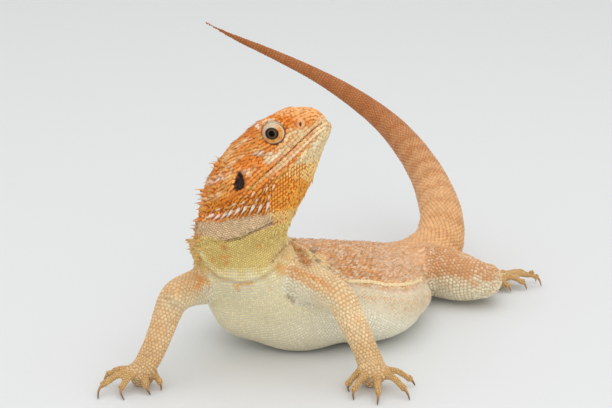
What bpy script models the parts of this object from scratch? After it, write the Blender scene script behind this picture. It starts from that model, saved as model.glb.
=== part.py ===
"""A central bearded dragon, life size: sitting up on its hands, head turned, tail raised.

Places are in millimetres in the animal's own frame, +Z up, with the origin on the flat
under the belly. X runs to the right hand side of the view that faces the chest and Y
runs away from it. Lengths become metres where a mesh is made.
"""
import bmesh
import bpy
import numpy as np
from math import cos, pi, radians, sin
from mathutils import Matrix, Vector

MM = 0.001
GAP = 0.3
CRUMB = 40e-9
VOXEL = 0.8
FLESH_TRIANGLES = 4700
SMOOTH_ROUNDS = {"": 3, "body": 24, "trunk": 240}
BODY_ROUNDNESS = (1.0, 0.85)
HEAD_ROUNDNESS = (0.8, 0.95)
HEAD_NARROWING = 0.22

# Driving dimensions of the head, in millimetres from the tip of the snout.
SNOUT = Vector((-1.0, -47.0, 99.0))
HEAD_YAW = radians(20)
HEAD_PITCH = radians(43)
EYE_BACK, EYE_OUT, EYE_UP = 16.1, 8.2, 10.3
EYE_RADIUS = 4.1
MOUTH_BACK = 44.0
NAPE_SLOPE = 0.35

# Claws: the radius at the root, and the sides of the cone.
CLAW_ROOT = 1.0
CLAW_SIDES = 5
CLAW_BEND = 0.45

HEAD_FORWARD = Vector((cos(HEAD_YAW) * cos(HEAD_PITCH), -sin(HEAD_YAW) * cos(HEAD_PITCH), sin(HEAD_PITCH)))
HEAD_RIGHT = Vector((-sin(HEAD_YAW), -cos(HEAD_YAW), 0.0))
HEAD_UP = HEAD_RIGHT.cross(HEAD_FORWARD)


def at(x, y, z):
    """A place in the animal's frame."""
    return Vector((x, y, z))


def in_head(back, right, up):
    """A place in the head: back from the snout, to the animal's right, and above the mouth line."""
    return SNOUT - HEAD_FORWARD * back + HEAD_RIGHT * right + HEAD_UP * up


# Spine, from inside the skull to the tip of the tail.
# Each station: place, half width, height above the place, depth below it.
SPINE = [
    (at(-30, -38, 73), 16.0, 12.0, 12.0),
    (at(-33, -36, 62), 18.0, 14.0, 14.0),
    (at(-35, -32, 51), 18.5, 14.0, 14.5),
    (at(-32, -25, 39), 23.0, 14.5, 17.0),
    (at(-22, -9, 26), 34.0, 17.4, 24.0),
    (at(-5, 16, 18), 39.5, 17.0, 20.0),
    (at(11, 37, 14.5), 37.0, 14.0, 16.5),
    (at(25, 52, 12.5), 25.0, 11.5, 14.0),
    (at(37, 63, 12.5), 17.0, 9.4, 12.4),
    (at(48.6, 75, 17), 12.2, 9.7, 10.3),
    (at(52.0, 90, 24.6), 10.2, 9.6, 9.8),
    (at(50.8, 109, 31.0), 9.2, 9.0, 9.1),
    (at(46.6, 131, 38.4), 8.1, 8.0, 8.0),
    (at(38.2, 154, 47.2), 7.1, 7.0, 7.0),
    (at(26.8, 170, 56.2), 6.0, 5.9, 5.9),
    (at(9.2, 182, 66.8), 4.8, 4.7, 4.7),
    (at(-8.4, 186, 76.2), 3.7, 3.6, 3.6),
    (at(-29.4, 183, 86.8), 2.8, 2.7, 2.7),
    (at(-45.8, 176, 95.3), 1.9, 1.9, 1.9),
    (at(-60.2, 166, 104.6), 0.9, 0.9, 0.9),
]

# Skull, lower jaw and beard. Each station: distance back from the snout,
# half width, height above the mouth line, depth below it.
HEAD = [
    (0.5, 2.0, 5.6, 0.4),
    (1.3, 4.2, 8.2, 1.8),
    (3.4, 6.2, 10.6, 3.2),
    (7.0, 8.2, 13.3, 4.8),
    (11.0, 10.0, 15.6, 6.4),
    (16.0, 12.0, 17.4, 8.8),
    (21.0, 14.0, 18.4, 11.4),
    (27.0, 16.2, 18.9, 13.8),
    (33.0, 18.4, 18.9, 15.8),
    (39.0, 19.8, 18.4, 18.4),
    (45.0, 20.0, 17.2, 20.6),
    (51.0, 19.2, 15.2, 20.0),
    (57.0, 17.0, 12.0, 17.0),
    (62.0, 13.0, 8.0, 13.0),
]

# Bulges on the head: distance back, out, up, then their half sizes along the same ways.
HEAD_BULGES = [
    (EYE_BACK, 7.6, 10.0, 6.4, 4.2, 5.4),
    (EYE_BACK + 0.5, 7.4, 14.4, 8.0, 3.4, 2.6),
    (44.0, 13.5, -4.0, 10.0, 7.0, 9.0),
    (28.0, 11.6, -1.0, 10.0, 4.6, 7.0),
    (56.0, 13.0, 3.0, 6.5, 4.8, 6.0),
]

# Arms and legs: stations of place, half width and half thickness, from the root to the foot.
ARM_LEFT = [
    (at(-22, -24, 34.5), 9.6, 10.0),
    (at(-14, -32, 35), 8.8, 9.2),
    (at(-4.5, -42.5, 33.6), 7.2, 7.4),
    (at(2.8, -49.5, 31.6), 6.3, 6.4),
    (at(7.4, -53.5, 24.0), 5.7, 5.7),
    (at(11.8, -58, 15.5), 5.2, 4.7),
    (at(14.6, -61.5, 9.0), 5.7, 4.0),
    (at(16.0, -64.4, 6.7), 6.2, 3.0),
    (at(16.4, -66.8, 6.0), 5.0, 2.4),
]
ARM_RIGHT = [
    (at(-44, -20, 29.5), 8.6, 8.8),
    (at(-49.5, -29, 30.2), 7.6, 7.8),
    (at(-56.2, -41, 32.0), 6.5, 6.6),
    (at(-60.4, -48.5, 31.0), 5.9, 6.0),
    (at(-63.2, -53, 24.0), 5.4, 5.5),
    (at(-66.4, -57, 16), 5.1, 4.7),
    (at(-70.0, -60.5, 9.3), 5.6, 4.0),
    (at(-73.0, -62.6, 6.6), 6.2, 3.0),
    (at(-74.2, -64.8, 5.9), 5.0, 2.4),
]
LEG_LEFT = [
    (at(40, 57, 13), 11.5, 11.0),
    (at(49, 49, 12.5), 11.5, 11.5),
    (at(58, 42, 11.8), 10.4, 10.6),
    (at(66.5, 39, 11.4), 7.4, 8.2),
    (at(69.0, 45, 10.6), 6.2, 6.8),
    (at(66.5, 55, 8.6), 5.4, 5.6),
    (at(66.0, 61.5, 6.6), 4.8, 4.6),
    (at(71.0, 64.0, 5.2), 4.6, 3.7),
    (at(76.8, 64.6, 5.0), 4.4, 2.7),
]
LEG_RIGHT = [
    (at(28, 72, 10.5), 9.2, 9.0),
    (at(18, 80, 8.8), 8.4, 8.2),
    (at(9, 86, 7.6), 7.2, 7.0),
    (at(2, 90.5, 6.4), 5.8, 6.0),
    (at(4.5, 96.5, 6.0), 5.0, 5.2),
    (at(8.5, 101.5, 5.4), 4.6, 4.4),
    (at(8, 106, 4.8), 4.4, 4.0),
    (at(4, 109, 4.2), 4.6, 3.5),
    (at(0, 111, 3.9), 4.8, 3.2),
]

# Fingers and toes: knuckle, end of the flesh, tip of the claw, and the radius of the finger.
DIGITS = {
    "hand_left": [
        (at(11.4, -60.2, 5.9), at(6.4, -64.6, 3.1), at(6.2, -67.0, 0.3), 1.6),
        (at(12.9, -65.2, 6.3), at(8.4, -71.4, 3.5), at(7.8, -75.7, 0.3), 1.6),
        (at(16.6, -66.2, 6.4), at(16.7, -75.2, 3.6), at(16.3, -80.6, 0.3), 1.6),
        (at(19.6, -65.0, 6.3), at(25.9, -70.8, 3.6), at(28.4, -75.6, 0.3), 1.6),
        (at(20.8, -60.0, 6.2), at(28.4, -60.6, 3.6), at(31.3, -60.2, 0.3), 1.55),
    ],
    "hand_right": [
        (at(-69.4, -59.4, 6.0), at(-65.3, -63.2, 3.3), at(-64.2, -65.6, 0.3), 1.6),
        (at(-71.2, -62.8, 6.2), at(-69.9, -67.4, 3.5), at(-67.8, -70.2, 0.3), 1.6),
        (at(-74.0, -64.4, 6.3), at(-78.1, -69.8, 3.7), at(-77.1, -75.5, 0.3), 1.6),
        (at(-76.2, -63.4, 6.3), at(-84.9, -68.0, 4.0), at(-86.8, -74.6, 0.3), 1.6),
        (at(-77.0, -60.0, 6.5), at(-83.8, -59.4, 4.8), at(-86.4, -60.4, 0.3), 1.55),
    ],
    "foot_left": [
        (at(73.6, 61.2, 4.8), at(78.8, 59.0, 3.3), at(80.7, 59.2, 0.3), 1.5),
        (at(76.6, 63.2, 5.3), at(85.6, 62.6, 3.8), at(88.1, 61.8, 0.3), 1.55),
        (at(78.6, 65.4, 5.5), at(92.2, 67.4, 4.6), at(95.2, 66.9, 0.3), 1.55),
        (at(78.6, 67.8, 5.4), at(91.0, 73.6, 4.4), at(93.8, 74.0, 0.3), 1.55),
        (at(75.2, 68.6, 4.8), at(81.0, 76.0, 3.4), at(82.6, 79.0, 0.3), 1.5),
    ],
    "foot_right": [
        (at(1.5, 106.0, 4.2), at(-2.0, 103.5, 3.0), at(-5.0, 102.0, 0.3), 1.6),
        (at(-0.8, 108.6, 4.6), at(-7.5, 106.6, 3.2), at(-11.0, 105.2, 0.3), 1.7),
        (at(-1.2, 111.0, 4.8), at(-12.4, 112.6, 3.8), at(-15.4, 112.6, 0.3), 1.65),
        (at(0.6, 113.0, 4.6), at(-10.4, 119.6, 3.6), at(-13.0, 121.0, 0.3), 1.65),
        (at(4.0, 112.4, 4.2), at(0.6, 119.8, 3.0), at(-0.6, 123.2, 0.3), 1.6),
    ],
}

# Loose pads of flesh that the limbs and spine alone don't give: place and half sizes.
PADS = [
    (at(-13, -18, 15), 25.0, 15.5, 16.0),
    (at(-33, -18, 19), 16.0, 13.0, 15.0),
    (at(11, -1, 14.2), 28.5, 26.5, 15.5),
    (at(20.5, 17.5, 12), 24.0, 24.0, 12.6),
    (at(-3, 0, 20), 30.0, 26.0, 19.0),
    (at(-51.5, -24, 45), 6.0, 7.0, 5.0),
    (at(-20, -22, 45), 6.0, 7.0, 5.0),
    (at(15.0, -60.0, 3.6), 5.0, 4.0, 4.6),
    (at(-71.8, -58.8, 3.6), 5.0, 4.0, 4.6),
    (at(74.6, 64.6, 2.8), 4.8, 3.6, 3.8),
    (at(0.4, 110.6, 2.6), 5.0, 4.4, 3.6),
]

# Where the body is parted: the middle of each thin cut, the way across it, and its size.
# Cuts in one group don't meet each other.
CUTS = [
    [("neck", at(-34, -29.5, 46), (0.0, -0.25, 0.95), 64.0)],
    [
        ("tail root", at(50.4, 82.5, 20.8), (0.18, 0.86, 0.48), 30.0),
        ("tail middle", at(42.8, 143, 42.6), (-0.32, 0.87, 0.36), 24.0),
        ("tail end", at(0.4, 184.4, 71.6), (-0.82, 0.20, 0.54), 16.0),
        ("left shoulder", at(-4.6, -42.2, 33.2), (0.72, -0.69, -0.05), 24.0),
        ("right shoulder", at(-52.5, -34.5, 31.0), (-0.50, -0.86, 0.0), 24.0),
        ("left hip", at(52, 46.6, 12.2), (0.80, -0.60, 0.0), 32.0),
        ("right hip", at(15, 81.5, 8.5), (-0.82, 0.57, 0.0), 26.0),
    ],
    [
        ("left elbow", at(4.6, -51.2, 28.4), (0.42, -0.42, -0.80), 19.0),
        ("right elbow", at(-61.6, -50.6, 28.0), (-0.36, -0.50, -0.79), 18.0),
        ("left knee", at(66.6, 45.4, 11), (0.756, 0.655, 0.0), 30.0),
        ("right knee", at(6.5, 94.5, 6.5), (-0.22, 0.975, 0.0), 22.0),
    ],
    [
        ("left wrist", at(13.4, -60, 12.0), (0.30, -0.44, -0.84), 16.0),
        ("right wrist", at(-68.4, -59, 12.4), (-0.40, -0.40, -0.82), 16.0),
        ("left ankle", at(68.0, 62.6, 6.0), (0.88, 0.46, -0.10), 15.0),
        ("right ankle", at(8.4, 103.6, 5.1), (-0.1, 0.99, -0.12), 14.0),
    ],
]

SKIN = (0.83, 0.47, 0.21)
HORN = (0.55, 0.37, 0.20)
EYE_BROWN = (0.10, 0.05, 0.03)


def clear_scene():
    """Remove every object that the new file brings."""
    for found in list(bpy.data.objects):
        bpy.data.objects.remove(found, do_unlink=True)


def make_material(name, colour, roughness):
    """A plain surface of one colour."""
    made = bpy.data.materials.new(name)
    made.use_nodes = True
    shader = made.node_tree.nodes["Principled BSDF"]
    shader.inputs["Base Color"].default_value = (*colour, 1.0)
    shader.inputs["Roughness"].default_value = roughness
    made.diffuse_color = (*colour, 1.0)
    return made


def new_object(name, mesh, collection):
    """Link a mesh to a collection as a named object."""
    made = bpy.data.objects.new(name, mesh)
    collection.objects.link(made)
    return made


def spline(rows, steps):
    """Points of a smooth curve through rows of numbers, with some steps in each span."""
    rows = np.array(rows, float)
    padded = np.vstack([2 * rows[0] - rows[1], rows, 2 * rows[-1] - rows[-2]])
    points = []
    for span in range(1, len(rows)):
        a, b, c, d = padded[span - 1 : span + 3]
        for t in np.arange(steps) / steps:
            points.append(0.5 * (2 * b + (c - a) * t + (2 * a - 5 * b + 4 * c - d) * t**2
                                 + (3 * b - a - 3 * c + d) * t**3))
    points.append(rows[-1])
    return np.array(points)


def ring(count, half_width, above, below, narrowing=0.0, roundness=(1.0, 1.0)):
    """A rounded outline as pairs of sideways and upward distances.

    Its upper and lower halves are ovals at a roundness of 1, and boxier below that.
    """
    outline = []
    for step in range(count):
        angle = 2 * pi * step / count
        across, height = cos(angle), sin(angle)
        power = roundness[0] if height > 0 else roundness[1]
        across = abs(across) ** power * (1 if across > 0 else -1)
        width = half_width * across * (1 - narrowing * max(0.0, height))
        height = abs(height) ** power * (above if height > 0 else -below)
        outline.append((width, height))
    return outline


def loft(build, centres, sides, ups, outlines):
    """Join outlines, each in its own plane, to one closed skin in a bmesh."""
    rings = []
    for centre, side, up, outline in zip(centres, sides, ups, outlines):
        rings.append([build.verts.new((centre + side * w + up * h) * MM) for w, h in outline])
    count = len(rings[0])
    for near, far in zip(rings, rings[1:]):
        for i in range(count):
            build.faces.new((near[i], near[(i + 1) % count], far[(i + 1) % count], far[i]))
    build.faces.new(reversed(rings[0]))
    build.faces.new(rings[-1])


def loft_along(build, stations, steps, count=20, roundness=(1.0, 1.0)):
    """A limb or spine: oval sections at right angles to a smooth path."""
    rows = [[*s[0], s[1], s[2], s[-1]] for s in stations]
    curve = spline(rows, steps)
    places = [Vector(row[:3]) for row in curve]
    sides = []
    ups = []
    outlines = []
    for i, row in enumerate(curve):
        ahead = places[min(i + 1, len(places) - 1)] - places[max(i - 1, 0)]
        along = ahead.normalized()
        up = (Vector((0, 0, 1)) - along * along.z).normalized()
        ups.append(up)
        sides.append(along.cross(up))
        outlines.append(ring(count, row[3], row[4], row[5], 0.0, roundness))
    loft(build, places, sides, ups, outlines)


def add_oval(build, centre, half_sizes, ways):
    """An ellipsoid with its half sizes along three ways."""
    turn = Matrix([[w[i] * s for w, s in zip(ways, half_sizes)] for i in range(3)]).to_4x4()
    place = Matrix.Translation(centre * MM) @ turn @ Matrix.Scale(MM, 4)
    bmesh.ops.create_uvsphere(build, u_segments=24, v_segments=16, radius=1.0, matrix=place)


def add_head(build):
    """Skull, jaw and beard as one loft, with brows, eye bulges and cheeks on both sides."""
    curve = spline(HEAD, 3)
    centres = [in_head(row[0], 0, 0) for row in curve]
    outlines = [ring(28, row[1], row[2], row[3], HEAD_NARROWING, HEAD_ROUNDNESS) for row in curve]
    # Back from the snout, the sideways axis that keeps the faces outward is the animal's left.
    sides = [-HEAD_RIGHT] * len(curve)
    loft(build, centres, sides, [HEAD_UP] * len(curve), outlines)
    for back, out, up, *sizes in HEAD_BULGES:
        for side in (-1, 1):
            add_oval(build, in_head(back, side * out, up), sizes, (HEAD_FORWARD, HEAD_RIGHT, HEAD_UP))


def finger_path(knuckle, end, radius):
    """Stations of a finger that arches a little above the straight line."""
    middle = (knuckle + end) * 0.5 + Vector((0, 0, 1.3))
    return [
        (knuckle, radius * 1.25, radius * 1.2),
        (middle, radius * 1.05, radius * 1.05),
        (end, radius, radius),
    ]


def add_group(thing, name, places, near, fade):
    """A vertex group that grows from nothing near some places to full weight beyond the fade."""
    group = thing.vertex_groups.new(name=name)
    spots = np.array(places)
    for vertex in thing.data.vertices:
        gap = np.sqrt(((spots - np.array(vertex.co) / MM) ** 2).sum(1).min())
        group.add([vertex.index], min(1.0, max(0.0, (gap - near) / fade)), "REPLACE")


def make_flesh(collection):
    """The whole animal without eyes and claws, as one smooth closed skin."""
    build = bmesh.new()
    loft_along(build, SPINE, 5, 32, BODY_ROUNDNESS)
    add_head(build)
    for limb in (ARM_LEFT, ARM_RIGHT, LEG_LEFT, LEG_RIGHT):
        loft_along(build, limb, 4)
    for digits in DIGITS.values():
        for knuckle, end, _, radius in digits:
            along = (end - knuckle).normalized()
            reach = [*finger_path(knuckle, end, radius), (end + along * 1.5, radius * 0.9, radius * 0.9)]
            loft_along(build, reach, 3, 12)
    for centre, *sizes in PADS:
        add_oval(build, centre, sizes, (Vector((1, 0, 0)), Vector((0, 1, 0)), Vector((0, 0, 1))))
    bmesh.ops.recalc_face_normals(build, faces=build.faces)
    mesh = bpy.data.meshes.new("flesh")
    build.to_mesh(mesh)
    build.free()
    flesh = new_object("flesh", mesh, collection)
    remesh = flesh.modifiers.new("one skin", "REMESH")
    remesh.mode = "VOXEL"
    remesh.voxel_size = VOXEL * MM
    apply_modifiers(flesh)
    fine_places = [digits[2][0] for digits in DIGITS.values()] + [in_head(14, 0, 4)]
    slim_places = [station[0] for limb in (ARM_LEFT, ARM_RIGHT, LEG_LEFT, LEG_RIGHT) for station in limb[2:]]
    slim_places += [station[0] for station in SPINE[:3] + SPINE[9:]]
    slim_places += [in_head(back, 0, 0) for back in range(0, 60, 8)]
    add_group(flesh, "body", fine_places, 16.0, 14.0)
    add_group(flesh, "trunk", slim_places, 13.0, 12.0)
    for group, rounds in SMOOTH_ROUNDS.items():
        smooth = flesh.modifiers.new("smooth", "SMOOTH")
        smooth.factor = 0.6
        smooth.iterations = rounds
        smooth.vertex_group = group
    apply_modifiers(flesh)
    return flesh


def apply_modifiers(thing):
    """Give an object the mesh that its modifiers make."""
    graph = bpy.context.evaluated_depsgraph_get()
    mesh = bpy.data.meshes.new_from_object(thing.evaluated_get(graph))
    thing.modifiers.clear()
    thing.data = mesh


def cutter_box(name, boxes, collection):
    """One cutter of loose boxes, each given by its middle, its ways and its full sizes."""
    build = bmesh.new()
    for middle, ways, sizes in boxes:
        turn = Matrix([[w[i] * s for w, s in zip(ways, sizes)] for i in range(3)]).to_4x4()
        place = Matrix.Translation(middle * MM) @ turn @ Matrix.Scale(MM, 4)
        bmesh.ops.create_cube(build, size=1.0, matrix=place)
    bmesh.ops.recalc_face_normals(build, faces=build.faces)
    mesh = bpy.data.meshes.new(name)
    build.to_mesh(mesh)
    build.free()
    made = new_object(name, mesh, collection)
    made.hide_render = True
    made.display_type = "WIRE"
    return made


def cut(thing, cutter):
    """Take a cutter's shape out of an object."""
    boolean = thing.modifiers.new("cut", "BOOLEAN")
    boolean.operation = "DIFFERENCE"
    boolean.solver = "EXACT"
    boolean.object = cutter
    apply_modifiers(thing)


def ways_about(normal):
    """Two ways across a direction, and the direction itself."""
    normal = normal.normalized()
    level = Vector((0, 0, 1)) if abs(normal.z) < 0.9 else Vector((0, 1, 0))
    across = level.cross(normal).normalized()
    return across, normal.cross(across), normal


def blade(middle, normal, size):
    """A thin square box that parts two pieces."""
    return middle, ways_about(Vector(normal)), (size, size, GAP)


def add_claw(root, ahead, tip, collection, name, material):
    """A curved cone that leaves the end of a finger straight ahead and bends to the floor."""
    bend = root + ahead * (tip - root).length * CLAW_BEND
    build = bmesh.new()
    shares = (0.0, 0.35, 0.7, 1.0)
    centres = [root * (1 - t) ** 2 + bend * 2 * t * (1 - t) + tip * t**2 for t in shares]
    turns = [ahead] + [(far - near).normalized() for near, far in zip(centres, centres[2:])]
    turns.append((tip - centres[-2]).normalized())
    radii = [CLAW_ROOT * (1 - 0.86 * t) for t in shares]
    sides = []
    ups = []
    outlines = []
    for along, radius in zip(turns, radii):
        up = (Vector((0, 0, 1)) - along * along.z).normalized()
        ups.append(up)
        sides.append(along.cross(up))
        outlines.append(ring(CLAW_SIDES, radius * 0.85, radius, radius))
    loft(build, centres, sides, ups, outlines)
    bmesh.ops.recalc_face_normals(build, faces=build.faces)
    mesh = bpy.data.meshes.new(name)
    build.to_mesh(mesh)
    build.free()
    mesh.materials.append(material)
    return new_object(name, mesh, collection)


def claws_and_seats(collection, material):
    """Twenty claws, and the boxes that trim each finger flat in front of its claw."""
    seats = []
    for foot, digits in DIGITS.items():
        for number, (_, end, tip, radius) in enumerate(digits, 1):
            along = (end - digits[number - 1][0]).normalized()
            ways = ways_about(along)
            seats.append((end + along * 2.0, ways, (radius * 3.0, radius * 3.0, 4.0)))
            root = end + along * GAP
            limb, side = foot.split("_")
            add_claw(root, along, tip, collection, f"claw_{limb}_{side}_{number}", material)
    return seats


def eye_place(side):
    """Middle of an eyeball: side is 1 for the animal's right and -1 for its left."""
    return in_head(EYE_BACK, side * EYE_OUT, EYE_UP)


def add_eyes(collection, material):
    """Both eyeballs, set in the head with a little room round them."""
    for side, name in ((1, "eye_right"), (-1, "eye_left")):
        build = bmesh.new()
        bmesh.ops.create_uvsphere(build, u_segments=12, v_segments=8, radius=EYE_RADIUS * MM,
                                  matrix=Matrix.Translation(eye_place(side) * MM))
        mesh = bpy.data.meshes.new(name)
        build.to_mesh(mesh)
        build.free()
        mesh.materials.append(material)
        new_object(name, mesh, collection)


def eye_sockets(collection):
    """Round hollows for the eyeballs."""
    build = bmesh.new()
    for side in (1, -1):
        bmesh.ops.create_uvsphere(build, u_segments=14, v_segments=9, radius=(EYE_RADIUS + GAP + 0.2) * MM,
                                  matrix=Matrix.Translation(eye_place(side) * MM))
    mesh = bpy.data.meshes.new("eye_sockets")
    build.to_mesh(mesh)
    build.free()
    made = new_object("eye_sockets", mesh, collection)
    made.hide_render = True
    made.display_type = "WIRE"
    return made


def part_blades():
    """Where the body is parted, in groups of blades that don't meet."""
    head_ways = (HEAD_FORWARD, HEAD_RIGHT, HEAD_UP)
    mouth = (in_head(MOUTH_BACK / 2 - 3, 0, 0), head_ways, (MOUTH_BACK + 6.0, 60.0, GAP))
    nape = (HEAD_FORWARD - HEAD_UP * NAPE_SLOPE).normalized()
    collar = (in_head(MOUTH_BACK, 0, -2), (HEAD_RIGHT, nape.cross(HEAD_RIGHT), nape), (60.0, 64.0, GAP))
    return [[mouth], [collar]] + [[blade(*place) for _, *place in group] for group in CUTS]


def anchors():
    """A place inside each piece of flesh, by the piece's name."""
    found = {
        "head": in_head(26, 0, 9),
        "lower_jaw": in_head(26, 0, -8),
        "neck": at(-33, -30, 55),
        "trunk": at(-2, 20, 18),
    }
    for number, index in enumerate((11, 14, 18), 1):
        found[f"tail_{number}"] = SPINE[index][0]
    for side, limb in (("left", ARM_LEFT), ("right", ARM_RIGHT)):
        found[f"upper_arm_{side}"] = limb[2][0]
        found[f"forearm_{side}"] = limb[5][0]
        found[f"hand_{side}"] = limb[7][0]
    for side, limb in (("left", LEG_LEFT), ("right", LEG_RIGHT)):
        found[f"thigh_{side}"] = limb[3][0]
        found[f"shank_{side}"] = limb[5][0]
        found[f"foot_{side}"] = limb[8][0]
    return found


def name_pieces(flesh, collection, material):
    """Split the cut flesh into loose pieces, named by the anchor that each one is nearest to."""
    build = bmesh.new()
    build.from_mesh(flesh.data)
    build.verts.ensure_lookup_table()
    seen = set()
    pieces = []
    for start in build.verts:
        if start.index in seen:
            continue
        stack = [start]
        seen.add(start.index)
        piece = []
        while stack:
            vert = stack.pop()
            piece.append(vert.index)
            for edge in vert.link_edges:
                other = edge.other_vert(vert)
                if other.index not in seen:
                    seen.add(other.index)
                    stack.append(other)
        pieces.append(piece)
    build.free()
    places = anchors()
    for piece in sorted(pieces, key=len, reverse=True):
        chosen = set(piece)
        part = bmesh.new()
        part.from_mesh(flesh.data)
        part.verts.ensure_lookup_table()
        bmesh.ops.delete(part, geom=[v for v in part.verts if v.index not in chosen], context="VERTS")
        low = Vector([min(v.co[i] for v in part.verts) for i in range(3)]) / MM
        high = Vector([max(v.co[i] for v in part.verts) for i in range(3)]) / MM
        middle = (low + high) * 0.5
        if part.calc_volume() < CRUMB:
            print("crumb", len(piece), [round(c, 1) for c in middle])
            part.free()
            continue
        name = min(places, key=lambda key: (places[key] - middle).length)
        print("piece", name, len(piece), "middle", [round(c, 1) for c in middle],
              "volume mm3", round(part.calc_volume() * 1e9, 1))
        del places[name]
        mesh = bpy.data.meshes.new(name)
        part.to_mesh(mesh)
        part.free()
        mesh.materials.clear()
        mesh.materials.append(material)
        new_object(name, mesh, collection)
    bpy.data.objects.remove(flesh, do_unlink=True)


def build_model():
    """Make every piece of the model."""
    clear_scene()
    model = bpy.data.collections.new("bearded_dragon")
    cutters = bpy.data.collections.new("cutters")
    for collection in (model, cutters):
        bpy.context.scene.collection.children.link(collection)
    skin = make_material("scaly_skin", SKIN, 0.6)
    horn = make_material("claw_horn", HORN, 0.35)
    eye = make_material("eye", EYE_BROWN, 0.08)
    flesh = make_flesh(model)
    thin = flesh.modifiers.new("thin", "DECIMATE")
    thin.ratio = FLESH_TRIANGLES / sum(len(face.vertices) - 2 for face in flesh.data.polygons)
    apply_modifiers(flesh)
    under_floor = [(at(0, 40, -20), ways_about(Vector((0, 0, 1))), (400.0, 400.0, 40.0))]
    cut(flesh, cutter_box("floor_cut", under_floor, cutters))
    seats = claws_and_seats(model, horn)
    cut(flesh, cutter_box("claw_seats", seats, cutters))
    cut(flesh, eye_sockets(cutters))
    for number, group in enumerate(part_blades(), 1):
        cut(flesh, cutter_box(f"blades_{number}", group, cutters))
    name_pieces(flesh, model, skin)
    add_eyes(model, eye)


build_model()
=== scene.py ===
# %% [markdown]
# # A central bearded dragon in Blender
#
# The construction file gives the animal as solids with true outlines. This file gives it a skin, eyes,
# claws and scales. We load the solids first, because every piece here sits on them. Lengths below are in
# millimetres and become metres when a mesh is made.

# %% Load the frame
from math import cos, pi, radians, sin
import bmesh
import bpy
import numpy as np
from mathutils import Matrix, Vector
from mathutils.bvhtree import BVHTree
from mathutils.kdtree import KDTree


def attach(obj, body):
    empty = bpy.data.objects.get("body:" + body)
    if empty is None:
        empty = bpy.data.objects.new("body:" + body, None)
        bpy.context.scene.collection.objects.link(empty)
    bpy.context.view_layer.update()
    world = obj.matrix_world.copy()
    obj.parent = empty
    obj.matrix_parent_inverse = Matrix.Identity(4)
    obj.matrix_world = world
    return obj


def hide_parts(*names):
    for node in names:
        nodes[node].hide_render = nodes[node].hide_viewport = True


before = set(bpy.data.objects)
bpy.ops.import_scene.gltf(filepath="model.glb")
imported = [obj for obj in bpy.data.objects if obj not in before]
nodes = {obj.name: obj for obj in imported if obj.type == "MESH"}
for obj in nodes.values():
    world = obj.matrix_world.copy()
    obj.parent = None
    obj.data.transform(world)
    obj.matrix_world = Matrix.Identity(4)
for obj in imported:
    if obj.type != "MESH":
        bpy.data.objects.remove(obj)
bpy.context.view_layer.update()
bpy.ops.object.select_all(action="DESELECT")
MM = 0.001

# %% [markdown]
# The camera comes early, because some markings are placed where the photograph shows them. It stands 0.7 m in
# front of the animal and looks down by 14.5 degrees through a long lens, so nothing looks stretched. A helper
# gives the way that the camera looks through any place of the picture.

# %% Camera
CAMERA_PLACE = Vector((-9.9, -696.1, 235.6))
CAMERA_TILT = radians(75.5)
LENS, SENSOR = 105.0, 36.0
IMAGE = (612, 408)
PIXELS = IMAGE[0] * LENS / SENSOR
TILT = Matrix.Rotation(CAMERA_TILT, 3, "X")

bpy.ops.object.camera_add(location=CAMERA_PLACE * MM, rotation=(CAMERA_TILT, 0, 0))
camera = bpy.context.object
camera.name = "camera"
camera.data.lens = LENS
camera.data.sensor_width = SENSOR
camera.data.clip_start = 0.01
bpy.context.scene.camera = camera


def sight(column, row):
    """The way that the camera looks through one place of the picture."""
    way = Vector(((column - IMAGE[0] / 2) / PIXELS, (IMAGE[1] / 2 - row) / PIXELS, -1.0))
    return (TILT @ way).normalized()


print("camera looks along", [round(c, 3) for c in sight(*[side / 2 for side in IMAGE])])

# %% [markdown]
# An animal is easiest to dress along its bones. These are the same stations that the solids were built on:
# each has a place and a mean half thickness. The head has a frame of its own, because it is turned and
# tipped.

# %% Bones
SNOUT = np.array((-1.0, -47.0, 99.0))
HEAD_YAW, HEAD_PITCH = radians(20), radians(43)
LEVEL = cos(HEAD_PITCH)
FORWARD = np.array((cos(HEAD_YAW) * LEVEL, -sin(HEAD_YAW) * LEVEL, sin(HEAD_PITCH)))
RIGHT = np.array((-sin(HEAD_YAW), -cos(HEAD_YAW), 0.0))
UP = np.cross(RIGHT, FORWARD)


def in_head(back, right, up):
    """A place in the head: back from the snout, to the animal's right, and above the mouth line."""
    return SNOUT - FORWARD * back + RIGHT * right + UP * up


def head_frame(places):
    """The same the other way round: back, right and up of many places."""
    away = np.atleast_2d(places) - SNOUT
    return -away @ FORWARD, away @ RIGHT, away @ UP


SPINE = [
    (-30, -38, 73, 13.5), (-33, -36, 62, 16), (-35, -32, 51, 16.5), (-32, -25, 39, 20), (-22, -9, 26, 27),
    (-5, 16, 18, 28), (11, 37, 14.5, 25), (25, 52, 12.5, 19), (37, 63, 12.5, 14), (48.6, 75, 17, 11.2),
    (52, 90, 24.6, 10), (50.8, 109, 31, 9.1), (46.6, 131, 38.4, 8.1), (38.2, 154, 47.2, 7),
    (26.8, 170, 56.2, 6), (9.2, 182, 66.8, 4.8), (-8.4, 186, 76.2, 3.7), (-29.4, 183, 86.8, 2.8),
    (-45.8, 176, 95.3, 1.9), (-60.2, 166, 104.6, 0.9),
]
HEAD = [(*in_head(back, 0, up), size) for back, up, size in (
    (7, 4.4, 7), (11, 4.6, 9.5), (16, 4.4, 12), (21, 3.8, 14), (27, 3.0, 16), (33, 2.0, 17.5),
    (39, 0.6, 18.6), (45, -1.2, 19), (51, -2.4, 18), (57, -2.6, 15.5), (62, -2.6, 12),
)]
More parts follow.
